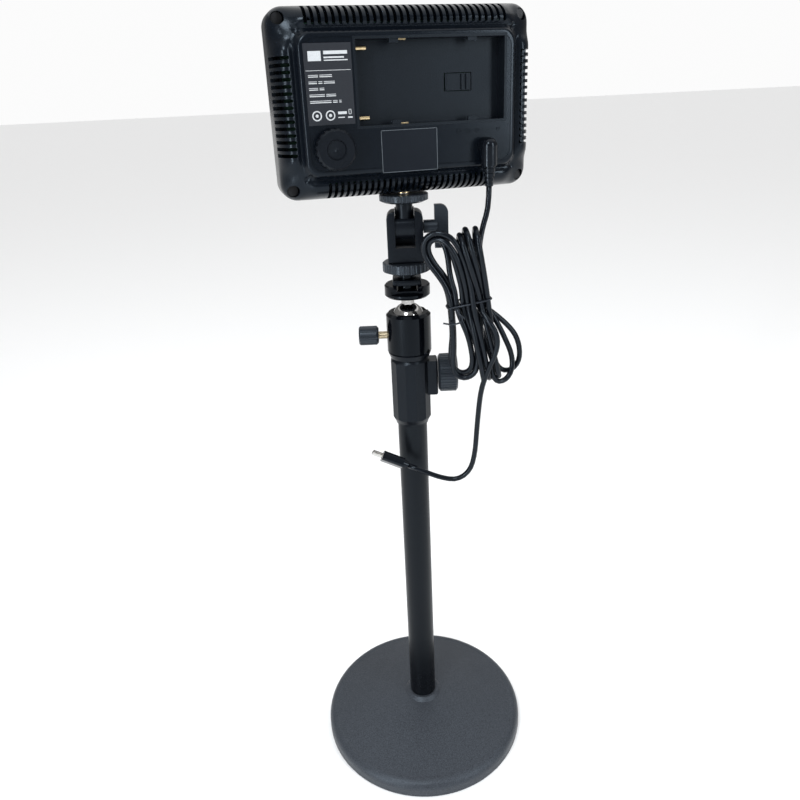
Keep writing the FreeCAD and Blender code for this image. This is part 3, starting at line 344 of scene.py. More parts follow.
def material(name, colour, rough, metal=0.0, coat=0.0, grain=(0.82, 1.22), bump=0.1, scale=900.0, spec=0.5):
    """Principled material: colour and bump follow a fine noise, and roughness follows a wide one."""
    made = bpy.data.materials.new(name)
    made.use_nodes = True
    nodes, links = made.node_tree.nodes, made.node_tree.links
    shader = nodes["Principled BSDF"]
    fill(shader, {"Metallic": metal, "Coat Weight": coat, "Coat Roughness": 0.16,
                  "Specular IOR Level": spec, "Specular Tint": (1, 1, 1, 1) if metal else COOL_SHINE})
    place = nodes.new("ShaderNodeTexCoord")
    fine, wide = nodes.new("ShaderNodeTexNoise"), nodes.new("ShaderNodeTexNoise")
    fill(fine, {"Scale": scale, "Detail": 4})
    fill(wide, {"Scale": WEAR_SCALE, "Detail": 3})
    for noise in (fine, wide):
        links.new(place.outputs["Object"], noise.inputs["Vector"])
    tint = nodes.new("ShaderNodeValToRGB")
    for stop, position, factor in zip(tint.color_ramp.elements, (NOISE_LOW, NOISE_HIGH), grain):
        stop.position = position
        stop.color = (*[min(1, c * factor) for c in colour], 1)
    links.new(fine.outputs["Fac"], tint.inputs["Fac"])
    links.new(tint.outputs["Color"], shader.inputs["Base Color"])
    worn = nodes.new("ShaderNodeMapRange")
    fill(worn, {"From Min": NOISE_LOW, "From Max": NOISE_HIGH, "To Min": rough * 0.86,
                "To Max": min(1, rough * 1.16)})
    links.new(wide.outputs["Fac"], worn.inputs["Value"])
    links.new(worn.outputs["Result"], shader.inputs["Roughness"])
    lift = nodes.new("ShaderNodeBump")
    fill(lift, {"Strength": bump, "Distance": BUMP_DEPTH})
    links.new(fine.outputs["Fac"], lift.inputs["Height"])
    links.new(lift.outputs["Normal"], shader.inputs["Normal"])
    return made


def give(obj, made):
    """One material on the whole object."""
    obj.data.materials.clear()
    obj.data.materials.append(made)


LOOKS = {
    "powder_coat_iron": dict(colour=(0.027, 0.030, 0.036), rough=0.40, bump=0.45, scale=1500,
                             grain=(0.6, 1.7), spec=0.32),
    "foam": dict(colour=(0.02, 0.02, 0.022), rough=0.9, bump=0.6),
    "zinc_steel": dict(colour=(0.55, 0.56, 0.58), rough=0.32, metal=1, bump=0.05),
    "black_tube": dict(colour=(0.0036, 0.0042, 0.0055), rough=0.30, bump=0.08, scale=1800, spec=0.15),
    "anodised": dict(colour=(0.0012, 0.0015, 0.0024), rough=0.12, bump=0.02, scale=700, spec=0.13),
    "hard_black": dict(colour=(0.0034, 0.0042, 0.0060), rough=0.30, bump=0.10, scale=1400, spec=0.16),
    "grip_black": dict(colour=(0.0085, 0.0105, 0.014), rough=0.34, bump=0.20, scale=1600, spec=0.42),
    "chrome": dict(colour=(0.52, 0.51, 0.49), rough=0.09, metal=1, bump=0.01, grain=(0.95, 1.05)),
    "brass": dict(colour=(0.38, 0.32, 0.22), rough=0.32, metal=1, bump=0.05),
    "gold": dict(colour=(0.62, 0.49, 0.29), rough=0.24, metal=1, bump=0.03),
    "nylon": dict(colour=(0.5, 0.5, 0.48), rough=0.5),
    "shell_black": dict(colour=(0.0022, 0.0033, 0.0054), rough=0.22, bump=0.06, scale=1800, spec=0.19),
    "bay_black": dict(colour=(0.0036, 0.0048, 0.0068), rough=0.36, bump=0.15, scale=1500, spec=0.16),
    "diffuser": dict(colour=(0.80, 0.80, 0.78), rough=0.4, scale=1200, grain=(0.97, 1.02)),
    "circuit": dict(colour=(0.03, 0.09, 0.05), rough=0.45, bump=0.2, scale=1200),
    "led_yellow": dict(colour=(0.75, 0.6, 0.15), rough=0.4),
    "label_dark": dict(colour=(0.015, 0.0155, 0.0185), rough=0.50, bump=0.12, scale=2600, spec=0.2),
    "label_black": dict(colour=(0.0030, 0.0038, 0.0062), rough=0.34, bump=0.06, scale=2200, spec=0.16),
    "pvc_black": dict(colour=(0.0026, 0.0034, 0.0052), rough=0.20, coat=0.04, bump=0.05, scale=700, spec=0.2),
    "tie_black": dict(colour=(0.008, 0.0095, 0.013), rough=0.22, coat=0.08, bump=0.05, spec=0.3),
    "nickel": dict(colour=(0.46, 0.45, 0.43), rough=0.18, metal=1, bump=0.03),
}
MATERIALS = {name: material(name, **look) for name, look in LOOKS.items()}
# Black steel for the shell screws and the tilt bolt, made darker than the steel's own tone as painted shade
# of the deep holes they sit in
BLACK_STEEL_AND_RECESS_SHADE = material("black_steel_and_recess_shade", (0.008, 0.0085, 0.01), 0.4, metal=0.6, bump=0.2, scale=1500)
DARK_CHROME = material("dark_chrome", (0.40, 0.395, 0.385), 0.12, metal=1, bump=0.02)
for node in NODES.values():
    for place in node.material_slots:
        place.material = MATERIALS[place.material.name.split(".")[0]]
give(NODES["shell_screws"], BLACK_STEEL_AND_RECESS_SHADE)
give(NODES["tilt_bolt"], BLACK_STEEL_AND_RECESS_SHADE)
give(NODES["dimmer_knob"], MATERIALS["hard_black"])
give(NODES["ball_stud"], DARK_CHROME)
give(power_cord, MATERIALS["pvc_black"])
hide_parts("cord_lead", "cord_hank", "cord_tail")

# ---------------------------------------------------------------- mesh helpers

# Edges sharper than this stay sharp (degrees): in what is made, cut and bevelled
MADE_ANGLE, CUT_ANGLE, BEVEL_ANGLE = 38, 34, 40


def shade(mesh, angle):
    """Smooth shading with the edges sharper than an angle kept."""
    mesh.shade_smooth()
    mesh.set_sharp_from_angle(angle=math.radians(angle))


def from_faces(name, verts, faces, where):
    """Object from vertices (mm) and faces, placed by a matrix."""
    mesh = bpy.data.meshes.new(name)
    mesh.from_pydata([tuple(float(c) * MM for c in v) for v in verts], [], [tuple(f) for f in faces])
    mesh.validate()
    shade(mesh, MADE_ANGLE)
    made = bpy.data.objects.new(name, mesh)
    bpy.context.scene.collection.objects.link(made)
    made.matrix_world = where
    return made


def rectangle(x0, z0, x1, z1):
    """Outline from one corner to the opposite one."""
    return [(x0, z0), (x1, z0), (x1, z1), (x0, z1)]


def disc(x, z, radius, count=20):
    """Round outline."""
    return [(x + radius * math.cos(a), z + radius * math.sin(a))
            for a in (k * 2 * math.pi / count for k in range(count))]


def rounded_block(low_x, high_x, low_z, high_z, top, bottom):
    """Outline of a rectangle with round upper and lower corners."""
    corners = ((high_x - top, high_z - top, top, 0), (low_x + top, high_z - top, top, 90),
               (low_x + bottom, low_z + bottom, bottom, 180), (high_x - bottom, low_z + bottom, bottom, 270))
    points = []
    for x, z, radius, start in corners:
        for turned in (0, 15, 30, 45, 60, 75, 90):
            a = math.radians(start + turned)
            points.append((x + radius * math.cos(a), z + radius * math.sin(a)))
    return points


def prism(points, low, high, axis="y"):
    """Vertices and faces of a flat outline drawn out along an axis."""
    count = len(points)
    verts = []
    for level in (low, high):
        for a, b in points:
            verts.append({"y": (a, level, b), "x": (level, a, b), "z": (a, b, level)}[axis])
    faces = [tuple(range(count)), tuple(reversed(range(count, 2 * count)))]
    faces += [(k, k + count, (k + 1) % count + count, (k + 1) % count) for k in range(count)]
    return verts, faces


def joined(parts):
    """One list of vertices and faces from several."""
    verts, faces = [], []
    for some_verts, some_faces in parts:
        start = len(verts)
        verts += some_verts
        faces += [tuple(i + start for i in f) for f in some_faces]
    return verts, faces


def face_outward(mesh):
    """Turns all faces of a closed mesh to look outward."""
    bm = bmesh.new()
    bm.from_mesh(mesh)
    bmesh.ops.recalc_face_normals(bm, faces=bm.faces)
    bm.to_mesh(mesh)
    bm.free()


def apply_modifiers(obj, angle):
    """Makes an object's modifiers part of its mesh."""
    bpy.context.view_layer.update()
    mesh = bpy.data.meshes.new_from_object(obj.evaluated_get(bpy.context.evaluated_depsgraph_get()))
    obj.modifiers.clear()
    obj.data = mesh
    shade(mesh, angle)


def subtract(obj, parts):
    """Cuts closed forms out of an object for good."""
    verts, faces = joined(parts)
    cutter = from_faces("cutter", verts, faces, obj.matrix_world.copy())
    face_outward(cutter.data)
    cut = obj.modifiers.new("cut", "BOOLEAN")
    cut.operation = "DIFFERENCE"
    cut.solver = "EXACT"
    cut.use_self = True
    cut.object = cutter
    apply_modifiers(obj, CUT_ANGLE)
    bpy.data.objects.remove(cutter)


def bevelled(obj, width, segments):
    """Rounds an object's edges for good."""
    soft = obj.modifiers.new("bevel", "BEVEL")
    soft.width = width * MM
    soft.segments = segments
    soft.limit_method = "ANGLE"
    soft.angle_limit = math.radians(BEVEL_ANGLE)
    soft.harden_normals = False
    apply_modifiers(obj, BEVEL_ANGLE)


# ---------------------------------------------------------------- rear cover of the panel

# In millimetres: X and Z from the panel's centre, and Y towards the front. Cuts start BEHIND the cover
BEHIND = -20
SCREWS = [(sx * 66.0, sz * 42.2) for sx in (-1, 1) for sz in (-1, 1)]
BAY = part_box("battery_bay")
BAY_FLOOR = -9
PLATE_RECESS, PLATE_FLOOR = (-18.3, -35.0, 13.2, -13.1), -15.5
DIMMER_HOLE, JACK_HOLE = (-43.9, -21.1, 3.9), (41.0, -23.9, 4.0)
SCREW_SINK, SINK_FLOOR = 3.3, -1.4
# The boss for the tripod insert: its outline, its levels, its middle, its bore, and the vents in its reach
BOSS, BOSS_BACK, BOSS_FRONT = (-9.5, -47.0, 4.5, -37.5), -6.8, 4.9
BOSS_X, BOSS_BORE, BOSS_REACH = -2.5, 4.2, 8.2
# Vents: how many and their pitch along the top, the bottom and each side
TOP_VENTS, LOW_VENTS, SIDE_VENTS = (31, 3.55), (29, 3.35), (15, 3.36)
VENT_HALF, VENT_LENGTH = 0.88, 12
VENT_X, VENT_Z = 63.6, 39.2
VENT_FLOOR, SIDE_VENT_FLOOR, BOSS_VENT_FLOOR = -1.2, -0.9, -6.2
# Scoops at the screws: half sizes, distance in from the screw, level and turn
SCOOP, SCOOP_IN_X, SCOOP_IN_Z, SCOOP_Y, SCOOP_TURN = (4.6, 5.2, 3.0), 6.4, 5.6, -15.9, math.radians(-42)
# The wall: its thickness, the inset from which only a share of it counts inward, and its level in front
WALL, FLAT_FROM, FLAT_WALL, FRONT_Y = 1.8, 8, 0.4, 8
# The raised pillows under the vents: where they start to fade, and over what distance
PILLOW_X, PILLOW_Z, FADE_X, FADE_Z = 53.5, 26.5, 8.5, 8.0
# Corner radius at the edge, how it shrinks further in, and its least
CORNER, CORNER_SHRINK, CORNER_LEAST = 9, 0.16, 6.5
# How far in from the edge, and how far back there: at the vents' pillows and at the corners' channels
PROFILE = [
    (0.0, 9.0, 9.0), (0.0, 2.0, 2.0), (0.15, -1.0, -0.4), (0.6, -3.6, -2.2), (1.5, -6.6, -4.2),
    (2.8, -9.4, -6.0), (4.4, -11.6, -7.6), (6.2, -13.1, -9.0), (8.0, -13.7, -10.2), (9.4, -13.4, -11.0),
    (10.4, -12.6, -11.5), (11.2, -12.3, -11.9), (12.0, -12.9, -12.6), (12.7, -14.1, -13.9),
    (13.3, -15.2, -15.1), (13.9, -15.8, -15.8), (14.6, -16.0, -16.0), (15.7, -16.0, -16.0),
    (15.8, -15.75, -15.75), (16.2, -15.75, -15.75), (16.3, -16.0, -16.0),
]
# The inside follows every second row of the profile, up to where the back is flat
INSIDE_ROWS = PROFILE[:17:2]
# Steps round a corner, and along the wide and the tall sides
ARC_STEPS, SIDE_STEPS = 12, (60, 36)


def outline(wide, tall, corner):
    """Points round a rounded rectangle, the same number along each side whatever its size."""
    def on_corner(n, a):
        sx, sz = ((1, 1), (-1, 1), (-1, -1), (1, -1))[n % 4]
        x, z = sx * (wide / 2 - corner), sz * (tall / 2 - corner)
        return x + corner * math.cos(a), z + corner * math.sin(a)

    points = []
    for n in range(4):
        points += [on_corner(n, (n + k / ARC_STEPS) * math.pi / 2) for k in range(ARC_STEPS + 1)]
        (x0, z0), (x1, z1) = points[-1], on_corner(n + 1, (n + 1) * math.pi / 2)
        steps = SIDE_STEPS[n % 2]
        points += [(x0 + (x1 - x0) * k / steps, z0 + (z1 - z0) * k / steps) for k in range(1, steps)]
    return points


def cover_ring(inset, pillow, channel, wall=0.0):
    """One ring of the cover's surface, or of its inside a wall's thickness in."""
    ring = []
    near = inset + wall * (1 if inset < FLAT_FROM else FLAT_WALL)
    corner = max(CORNER_LEAST, CORNER - CORNER_SHRINK * inset)
    for x, z in outline(WIDE - 2 * near, TALL - 2 * near, corner):
        if TALL / 2 - abs(z) < WIDE / 2 - abs(x):
            raised = 1 - smooth((abs(x) - PILLOW_X) / FADE_X)
        else:
            raised = 1 - smooth((abs(z) - PILLOW_Z) / FADE_Z)
        y = channel + (pillow - channel) * raised
        ring.append((x, y if y > FRONT_Y else min(y + wall, FRONT_Y), z))
    return ring


def vents(count, pitch):
    """Places of a row's vents along it, the row being centred."""
    return [(k - count // 2) * pitch for k in range(count)]


def vent(x, z, toward, level):
    """A slot with a round inner end, open towards the edge of the panel."""
    tx, tz = toward
    shape = []
    for k in range(9):
        a = math.pi * k / 8
        along, across = -math.sin(a) * VENT_HALF, math.cos(a) * VENT_HALF
        shape.append((x + tx * along - tz * across, z + tz * along + tx * across))
    first, last = shape[0], shape[-1]
    shape = [(first[0] + tx * VENT_LENGTH, first[1] + tz * VENT_LENGTH), *shape,
             (last[0] + tx * VENT_LENGTH, last[1] + tz * VENT_LENGTH)]
    return prism(shape, BEHIND, level)


def scoop(x, z):
    """The hollow between a screw and the middle, as a turned ellipsoid."""
    sx, sz = math.copysign(1, x), math.copysign(1, z)
    turned = Matrix.Rotation(sx * sz * SCOOP_TURN, 4, "Y")
    centre = Vector((x - sx * SCOOP_IN_X, SCOOP_Y, z - sz * SCOOP_IN_Z))
    ball = bmesh.new()
    bmesh.ops.create_icosphere(ball, subdivisions=3, radius=1.0)
    verts = [tuple(turned @ Vector([c * half for c, half in zip(v.co, SCOOP)]) + centre) for v in ball.verts]
    faces = [tuple(v.index for v in f.verts) for f in ball.faces]
    ball.free()
    return verts, faces


rings = [cover_ring(*row) for row in PROFILE[::-1]] + [cover_ring(*row, wall=WALL) for row in INSIDE_ROWS]
verts = [v for ring in rings for v in ring]
rear_cover = from_faces("rear_cover", verts, tube_faces(len(rings), len(rings[0])), PANEL)
face_outward(rear_cover.data)
cuts = [vent(x, VENT_Z, (0, 1), VENT_FLOOR) for x in vents(*TOP_VENTS)]
for x in vents(*LOW_VENTS):
    cuts.append(vent(x, -VENT_Z, (0, -1), BOSS_VENT_FLOOR if abs(x - BOSS_X) < BOSS_REACH else VENT_FLOOR))
for side in (-1, 1):
    cuts += [vent(side * VENT_X, z, (side, 0), SIDE_VENT_FLOOR) for z in vents(*SIDE_VENTS)]
cuts.append(prism(rectangle(BAY[0].x / MM - PANEL_X, BAY[0].z / MM - PANEL_Z,
                            BAY[1].x / MM - PANEL_X, BAY[1].z / MM - PANEL_Z), BEHIND, BAY_FLOOR))
cuts.append(prism(rectangle(*PLATE_RECESS), BEHIND, PLATE_FLOOR))
cuts += [prism(disc(*hole), BEHIND, BAY_FLOOR) for hole in (DIMMER_HOLE, JACK_HOLE)]
cuts += [prism(disc(x, z, SCREW_SINK, 24), BEHIND, SINK_FLOOR) for x, z in SCREWS]
subtract(rear_cover, cuts)
subtract(rear_cover, [scoop(x, z) for x, z in SCREWS])
insert_boss = from_faces("insert_boss", *prism(rectangle(*BOSS), BOSS_BACK, BOSS_FRONT), PANEL)
subtract(insert_boss, [prism(disc(BOSS_X, 0, BOSS_BORE, 32), -49, -38.2, "z")])
give(insert_boss, MATERIALS["shell_black"])
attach(insert_boss, "head")
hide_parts("rear_shell")
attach(rear_cover, "head")
give(rear_cover, MATERIALS["shell_black"])

# ---------------------------------------------------------------- tilt yoke and the neck in it

# The yoke, in the stand's frame: its heights, half its width and half its depth
YOKE_LOW, YOKE_HIGH, YOKE_HALF, YOKE_DEEP = 356.8, 386.3, 10.5, 8.0
# The gap between its cheeks, as seen along the bolt, and half its width
CHEEK_GAP = [(-9, 365.5), (4.0, 365.5), (4.0, 368.4), (4.4, 368.6), (9, 368.6), (9, 395), (-9, 395)]
GAP_HALF = 5.75
# Radii of the bores for the bolt, the bolt's head and the stem
BOLT_BORE, HEAD_BORE, STEM_BORE = 2.5, 4.2, 5.6
# The neck: half its width, its radius round the bolt, and its post's radius
NECK_HALF, NECK_RADIUS, NECK_POST = 5.65, 7.1, 4.9
# The plate over the shoe: half its side, and its corners' radius
PLATE_HALF, PLATE_CORNER = 8.6, 1.2
WHEEL_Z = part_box("upper_lock_wheel")[0].z / MM
SHOE_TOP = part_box("shoe_disc")[1].z / MM

yoke_shape = rounded_block(-YOKE_HALF, YOKE_HALF, YOKE_LOW, YOKE_HIGH, 4.2, 0.6)
yoke = from_faces("yoke", *prism(yoke_shape, -YOKE_DEEP, YOKE_DEEP), STAND)
bevelled(yoke, 1.5, 4)
subtract(yoke, [prism(CHEEK_GAP, -GAP_HALF, GAP_HALF, "x"),
                prism(disc(0, TILT_Z, BOLT_BORE, 24), -15, 15, "x"),
                prism(disc(0, TILT_Z, HEAD_BORE, 24), -12, -8.1, "x"),
                prism(disc(0, 0, STEM_BORE, 24), 350, 360, "z")])
neck_sides = [(NECK_RADIUS * math.cos(a), TILT_Z + NECK_RADIUS * math.sin(a))
              for a in (math.pi * k / 24 - math.pi for k in range(25))]
neck_sides += [(NECK_RADIUS, TILT_Z + 3.0), (6.4, TILT_Z + 4.6), (5.2, TILT_Z + 5.6), (-5.2, TILT_Z + 5.6),
               (-6.4, TILT_Z + 4.6), (-NECK_RADIUS, TILT_Z + 3.0)]
neck = from_faces("neck", *joined([prism(neck_sides, -NECK_HALF, NECK_HALF, "x"),
                                   prism(rectangle(-5.6, 1.0, 5.6, 4.6), TILT_Z + 3, 387.6, "z"),
                                   prism(disc(0, 0, NECK_POST, 40), TILT_Z + 4, WHEEL_Z + 0.4, "z")]), STAND)
plate_shape = rounded_block(-PLATE_HALF, PLATE_HALF, -PLATE_HALF, PLATE_HALF, PLATE_CORNER, PLATE_CORNER)
foot_plate = from_faces("foot_plate", *prism(plate_shape, SHOE_TOP + 0.2, SHOE_TOP + 3.4, "z"), STAND)
bevelled(foot_plate, 0.5, 2)
give(foot_plate, MATERIALS["hard_black"])
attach(foot_plate, "bracket")
for made, node, body in ((yoke, "tilt_yoke", "bracket"), (neck, "tilt_neck", "head")):
    give(made, MATERIALS["hard_black"])
    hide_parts(node)
    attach(made, body)

# ---------------------------------------------------------------- wire tie round the hank

# Strands in front of this depth lie outside the tie, which keeps this far from the other strands' lines
FRONT_STRAND = -26.9
TIE_REACH = CORD / 2 + 0.45
# Radii of the tie's wire, round the hank and in its two ends
TIE_WIRE, END_WIRE = 0.55, 0.5
KNOT = [(26.4, -28.0, 333.6), (28.0, -28.6, 331.6), (30.2, -28.8, 329.4), (31.0, -28.8, 327.2),
        (29.4, -28.8, 325.6), (26.4, -28.6, 324.8), (22.8, -28.2, 324.8), (19.8, -27.8, 325.4)]
SHORT_END = [(27.6, -28.2, 334.0), (28.4, -28.9, 332.2), (29.6, -29.0, 330.2), (31.4, -29.0, 328.6),
             (32.4, -28.8, 328.4)]


def tie_height(x):
    """Height of the tilted plane that the tie lies in (mm)."""
    return 333.8 + 0.20 * (x - 24.0)


def crossings():
    """Where the cord's line passes the plane of the tie, in the stand's frame (mm)."""
    back = STAND.inverted()
    line = [back @ (Vector(p) / MM) for p in CORD_LINE]
    found = []
    for p, q in zip(line, line[1:]):
        a, b = (v.z - tie_height(v.x) for v in (p, q))
        if a * b < 0 and 15 < p.x < 55:
            found.append(p.lerp(q, a / (a - b)))
    return found


def around(points, reach):
    """Closed line round the points at a distance, as a stretched band lies."""
    middle = sum(points, Vector()) / len(points)
    angles = [2 * math.pi * k / 48 for k in range(49)]
    reaches = []
    for a in angles[:-1]:
        way = Vector((math.cos(a), math.sin(a), 0))
        reaches.append(max((p - middle).dot(way) for p in points) + reach)
    line = []
    for a, b, h, g in zip(angles, angles[1:], reaches, reaches[1:] + reaches[:1]):
        x = (h * math.sin(b) - g * math.sin(a)) / math.sin(b - a)
        y = (g * math.cos(a) - h * math.cos(b)) / math.sin(b - a)
        line.append((middle.x + x, middle.y + y))
    return line + line[:1]


band = around([p for p in crossings() if p.y > FRONT_STRAND], TIE_REACH)
band_line = np.array([tuple(stand_point(x, y, tie_height(x))) for x, y in band])
wires = [sweep("wire_tie", band_line, TIE_WIRE * MM, 8)]
for points in (KNOT, SHORT_END):
    wires.append(sweep("tie_end", spline_line("tie_line", points, 4), END_WIRE * MM, 8))
tie = bpy.data.objects.new("tie", bpy.data.meshes.new("tie"))
bpy.context.scene.collection.objects.link(tie)
bm = bmesh.new()
for wire in wires:
    bm.from_mesh(wire.data)
    bpy.data.objects.remove(wire)
bm.to_mesh(tie.data)
bm.free()
give(tie, MATERIALS["tie_black"])
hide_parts("twist_tie")
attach(tie, "bracket")

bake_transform(power_cord)

# ---------------------------------------------------------------- front: frosted diffuser, lamps faint in it

# The lamps' pitch (mm), and where a lamp's spot starts and stops to fade, as shares of the pitch
LED_PITCH = 12.0
SPOT_FROM, SPOT_TO, SPOT_SHADE = 0.08, 0.42, 0.87
frosted = material("frosted", (0.62, 0.62, 0.60), 0.42, bump=0.25, scale=1500, grain=(0.96, 1.03))
nodes, links = frosted.node_tree.nodes, frosted.node_tree.links
local = nodes.new("ShaderNodeTexCoord")
shift = nodes.new("ShaderNodeVectorMath")
shift.operation = "SUBTRACT"
shift.inputs[1].default_value = Vector((PANEL_X + LED_PITCH / 2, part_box("diffuser")[1].y / MM,
                                        PANEL_Z + LED_PITCH / 2)) * MM
links.new(local.outputs["Object"], shift.inputs[0])
grid = nodes.new("ShaderNodeTexVoronoi")
fill(grid, {"Scale": 1000 / LED_PITCH, "Randomness": 0})
links.new(shift.outputs["Vector"], grid.inputs["Vector"])
spots = nodes.new("ShaderNodeMapRange")
spots.interpolation_type = "SMOOTHSTEP"
fill(spots, {"From Min": SPOT_FROM, "From Max": SPOT_TO, "To Min": SPOT_SHADE, "To Max": 1.0})
links.new(grid.outputs["Distance"], spots.inputs["Value"])
tinted = nodes.new("ShaderNodeMix")
tinted.data_type = "RGBA"
tinted.blend_type = "MULTIPLY"
tinted.inputs["Factor"].default_value = 1
ramp = next(n for n in nodes if n.bl_idname == "ShaderNodeValToRGB")
links.new(ramp.outputs["Color"], tinted.inputs["A"])
links.new(spots.outputs["Result"], tinted.inputs["B"])
links.new(tinted.outputs["Result"], nodes["Principled BSDF"].inputs["Base Color"])
give(NODES["diffuser"], frosted)

# ---------------------------------------------------------------- label print and raised marks


def bar(x, z, wide, tall):
    """Small rectangle, as an outline."""
    return rectangle(x, z, x + wide, z + tall)


def hoop(x, z, radius, line):
    """Outlines of the short blocks that make a flat ring."""
    shapes = []
    for k in range(24):
        a, b = (math.radians(360 * (k + n) / 24) for n in (0, 1))
        shapes.append([(x + r * math.cos(t), z + r * math.sin(t)) for r, t in
                       ((radius, a), (radius + line, a), (radius + line, b), (radius, b))])
    return shapes


def printed(name, shapes, low, high):
    """Object on the back of the panel, from flat shapes between two levels."""
    return from_faces(name, *joined([prism(shape, low, high) for shape in shapes]), PANEL)


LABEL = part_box("rating_label")
LABEL_X, LABEL_Z = LABEL[0].x / MM - PANEL_X, LABEL[0].z / MM - PANEL_Z
LABEL_Y = LABEL[0].y / MM
INK_HALF = 0.05
# A rule, a solid block and rules beside it, in millimetres from the label's lower left corner
prints = [bar(0.6, 25.9, 23.0, 0.22), bar(2.2, 30.4, 6.6, 4.6), bar(10.2, 33.4, 12.2, 1.6),
          bar(10.2, 31.6, 10.4, 0.7), bar(10.2, 30.4, 12.2, 0.5)]
# Rows of broken rules, each a thick one under a thin one: their lengths, row by row from the top
ROW_PITCH, THICK_Z, THIN_Z, RULE_SPACE = 3.05, 22.9, 23.75, 0.8
for row, lengths in enumerate(((5.0, 6.4), (4.2, 2.0, 5.6), (4.6, 2.4), (7.8, 5.0), (11.0, 2.4, 1.2))):
    x = 1.6
    for long in lengths:
        prints.append(bar(x, THICK_Z - ROW_PITCH * row, long, 0.42))
        prints.append(bar(x, THIN_Z - ROW_PITCH * row, long, 0.28))
        x += long + RULE_SPACE
# Two rings with dots, blocks and an open frame
for x, z in ((4.6, 4.6), (11.6, 4.6)):
    prints += hoop(x, z, 1.9, 0.6)
prints += [disc(4.6, 4.6, 0.8, 12), disc(11.6, 4.6, 0.8, 12)]
prints += [bar(15.6, 5.0, 4.6, 1.3), bar(15.6, 3.2, 3.4, 0.5), bar(20.8, 3.0, 2.4, 0.7)]
prints += [bar(21.2, 4.8, 1.5, 0.3), bar(21.2, 7.0, 1.5, 0.3)]
prints += [bar(21.2, 4.8, 0.3, 2.4), bar(22.4, 4.8, 0.3, 2.4)]
placed = [[(x + LABEL_X, z + LABEL_Z) for x, z in shape] for shape in prints]
label_print = printed("label_print", placed, LABEL_Y - INK_HALF, LABEL_Y + INK_HALF)
give(label_print, material("print_white", (0.46, 0.47, 0.48), 0.5, bump=0.05, scale=3000, grain=(0.8, 1.1)))
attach(label_print, "head")

# A thin frame round the blank label, from EDGE_OUT outside it inwards
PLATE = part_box("blank_label")
EDGE_OUT, EDGE_LINE = 0.35, 0.3
px0, px1 = (PLATE[k].x / MM - PANEL_X for k in (0, 1))
pz0, pz1 = (PLATE[k].z / MM - PANEL_Z for k in (0, 1))
edge_wide, edge_tall = px1 - px0 + 2 * EDGE_OUT, pz1 - pz0 + 2 * EDGE_OUT
edge = [bar(px0 - EDGE_OUT, pz0 - EDGE_OUT, edge_wide, EDGE_LINE),
        bar(px0 - EDGE_OUT, pz1 + EDGE_OUT - EDGE_LINE, edge_wide, EDGE_LINE),
        bar(px0 - EDGE_OUT, pz0 - EDGE_OUT, EDGE_LINE, edge_tall),
        bar(px1 + EDGE_OUT - EDGE_LINE, pz0 - EDGE_OUT, EDGE_LINE, edge_tall)]
plate_edge = printed("plate_edge", edge, -16.12, -15.5)
give(plate_edge, material("plate_edge", (0.07, 0.08, 0.09), 0.22, bump=0.05, scale=1500))
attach(plate_edge, "head")

# Raised marks beside the socket: rings with a bar, a dot and a cross, bars between them, and plain bars
MARK_Z = -15.8
marks = []
for n, x in enumerate((25.6, 31.0, 36.4)):
    marks += hoop(x, MARK_Z, 0.95, 0.35)
    if n == 1:
        marks.append(disc(x, MARK_Z, 0.4, 8))
    else:
        marks.append(bar(x - 0.55, -15.95, 1.1, 0.3))
    if n == 2:
        marks.append(bar(x - 0.15, -16.35, 0.3, 1.1))
    if n < 2:
        marks.append(bar(x + 1.5, -15.95, 2.4, 0.3))
marks += [bar(39.4, -15.3, 4.6, 0.35), bar(39.4, -16.1, 1.2, 0.35), bar(41.1, -16.1, 1.2, 0.35),
          bar(42.8, -16.1, 1.2, 0.35), bar(45.2, -15.9, 1.8, 0.5), bar(48.0, -16.6, 0.5, 1.7),
          bar(49.4, -16.6, 0.5, 1.7), bar(48.0, -15.2, 1.9, 0.4)]
raised_marks = printed("raised_marks", marks, -16.28, -15.9)
give(raised_marks, MATERIALS["shell_black"])
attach(raised_marks, "head")

# ---------------------------------------------------------------- stage and light

FLOOR_HALF = 40
COOL_LIGHT = (0.93, 0.97, 1)
# Strength of the sky from low to high, and of the background that the camera sees
SKY_LOW, SKY_HIGH, SEEN = 0.12, 0.45, 0.97
# Name, place and target (m), width and height (m), and power (W)
LAMPS = [
    ("key", (-0.75, -0.95, 1.45), (0, 0, 0.40), (0.45, 0.45), 13),
    ("window", (0.75, -1.15, 0.75), (0, 0, 0.30), (0.30, 0.9), 10),
    ("strip", (-1.1, -0.75, 0.45), (0, 0, 0.30), (0.10, 0.9), 10),
]


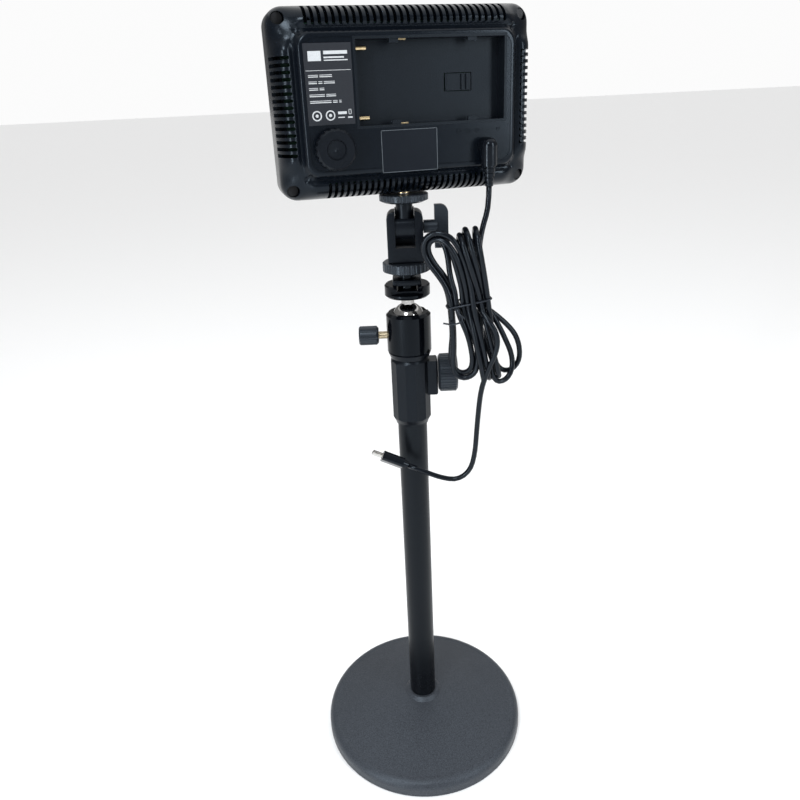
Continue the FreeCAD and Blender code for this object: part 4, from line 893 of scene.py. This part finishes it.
def lamp(name, place, target, size, power):
    """Rectangular area light that looks at its target."""
    data = bpy.data.lights.new(name, "AREA")
    data.shape = "RECTANGLE"
    data.size, data.size_y = size
    data.energy = power
    data.color = COOL_LIGHT
    made = bpy.data.objects.new(name, data)
    bpy.context.scene.collection.objects.link(made)
    made.location = place
    made.rotation_mode = "QUATERNION"
    made.rotation_quaternion = (Vector(target) - Vector(place)).to_track_quat("-Z", "Y")


floor_mesh = bpy.data.meshes.new("floor")
floor_corners = rectangle(-FLOOR_HALF, -FLOOR_HALF, FLOOR_HALF, FLOOR_HALF)
floor_mesh.from_pydata([(x, y, 0) for x, y in floor_corners], [], [(0, 1, 2, 3)])
floor = bpy.data.objects.new("floor", floor_mesh)
bpy.context.scene.collection.objects.link(floor)
give(floor, material("floor", (0.97, 0.97, 0.97), 0.6, bump=0.0, grain=(0.995, 1.005), spec=0.1))

world = bpy.data.worlds.new("world")
bpy.context.scene.world = world
world.use_nodes = True
sky, links = world.node_tree.nodes, world.node_tree.links
direction = sky.new("ShaderNodeTexCoord")
split = sky.new("ShaderNodeSeparateXYZ")
links.new(direction.outputs["Generated"], split.inputs["Vector"])
shade_of_sky = sky.new("ShaderNodeMapRange")
fill(shade_of_sky, {"From Min": -0.3, "From Max": 0.9, "To Min": SKY_LOW, "To Max": SKY_HIGH})
links.new(split.outputs["Z"], shade_of_sky.inputs["Value"])
ray = sky.new("ShaderNodeLightPath")
seen = sky.new("ShaderNodeMix")
links.new(ray.outputs["Is Camera Ray"], seen.inputs["Factor"])
links.new(shade_of_sky.outputs["Result"], seen.inputs["A"])
fill(seen, {"B": SEEN})
fill(sky["Background"], {"Color": (1, 1, 1, 1)})
links.new(seen.outputs["Result"], sky["Background"].inputs["Strength"])
bpy.context.scene.view_settings.view_transform = "Standard"
for row in LAMPS:
    lamp(*row)
sun = bpy.data.objects.new("sun", bpy.data.lights.new("sun", "SUN"))
sun.data.energy = 1.55
sun.data.angle = math.radians(100)
sun.rotation_euler = (math.radians(-18), math.radians(8), 0)
bpy.context.scene.collection.objects.link(sun)
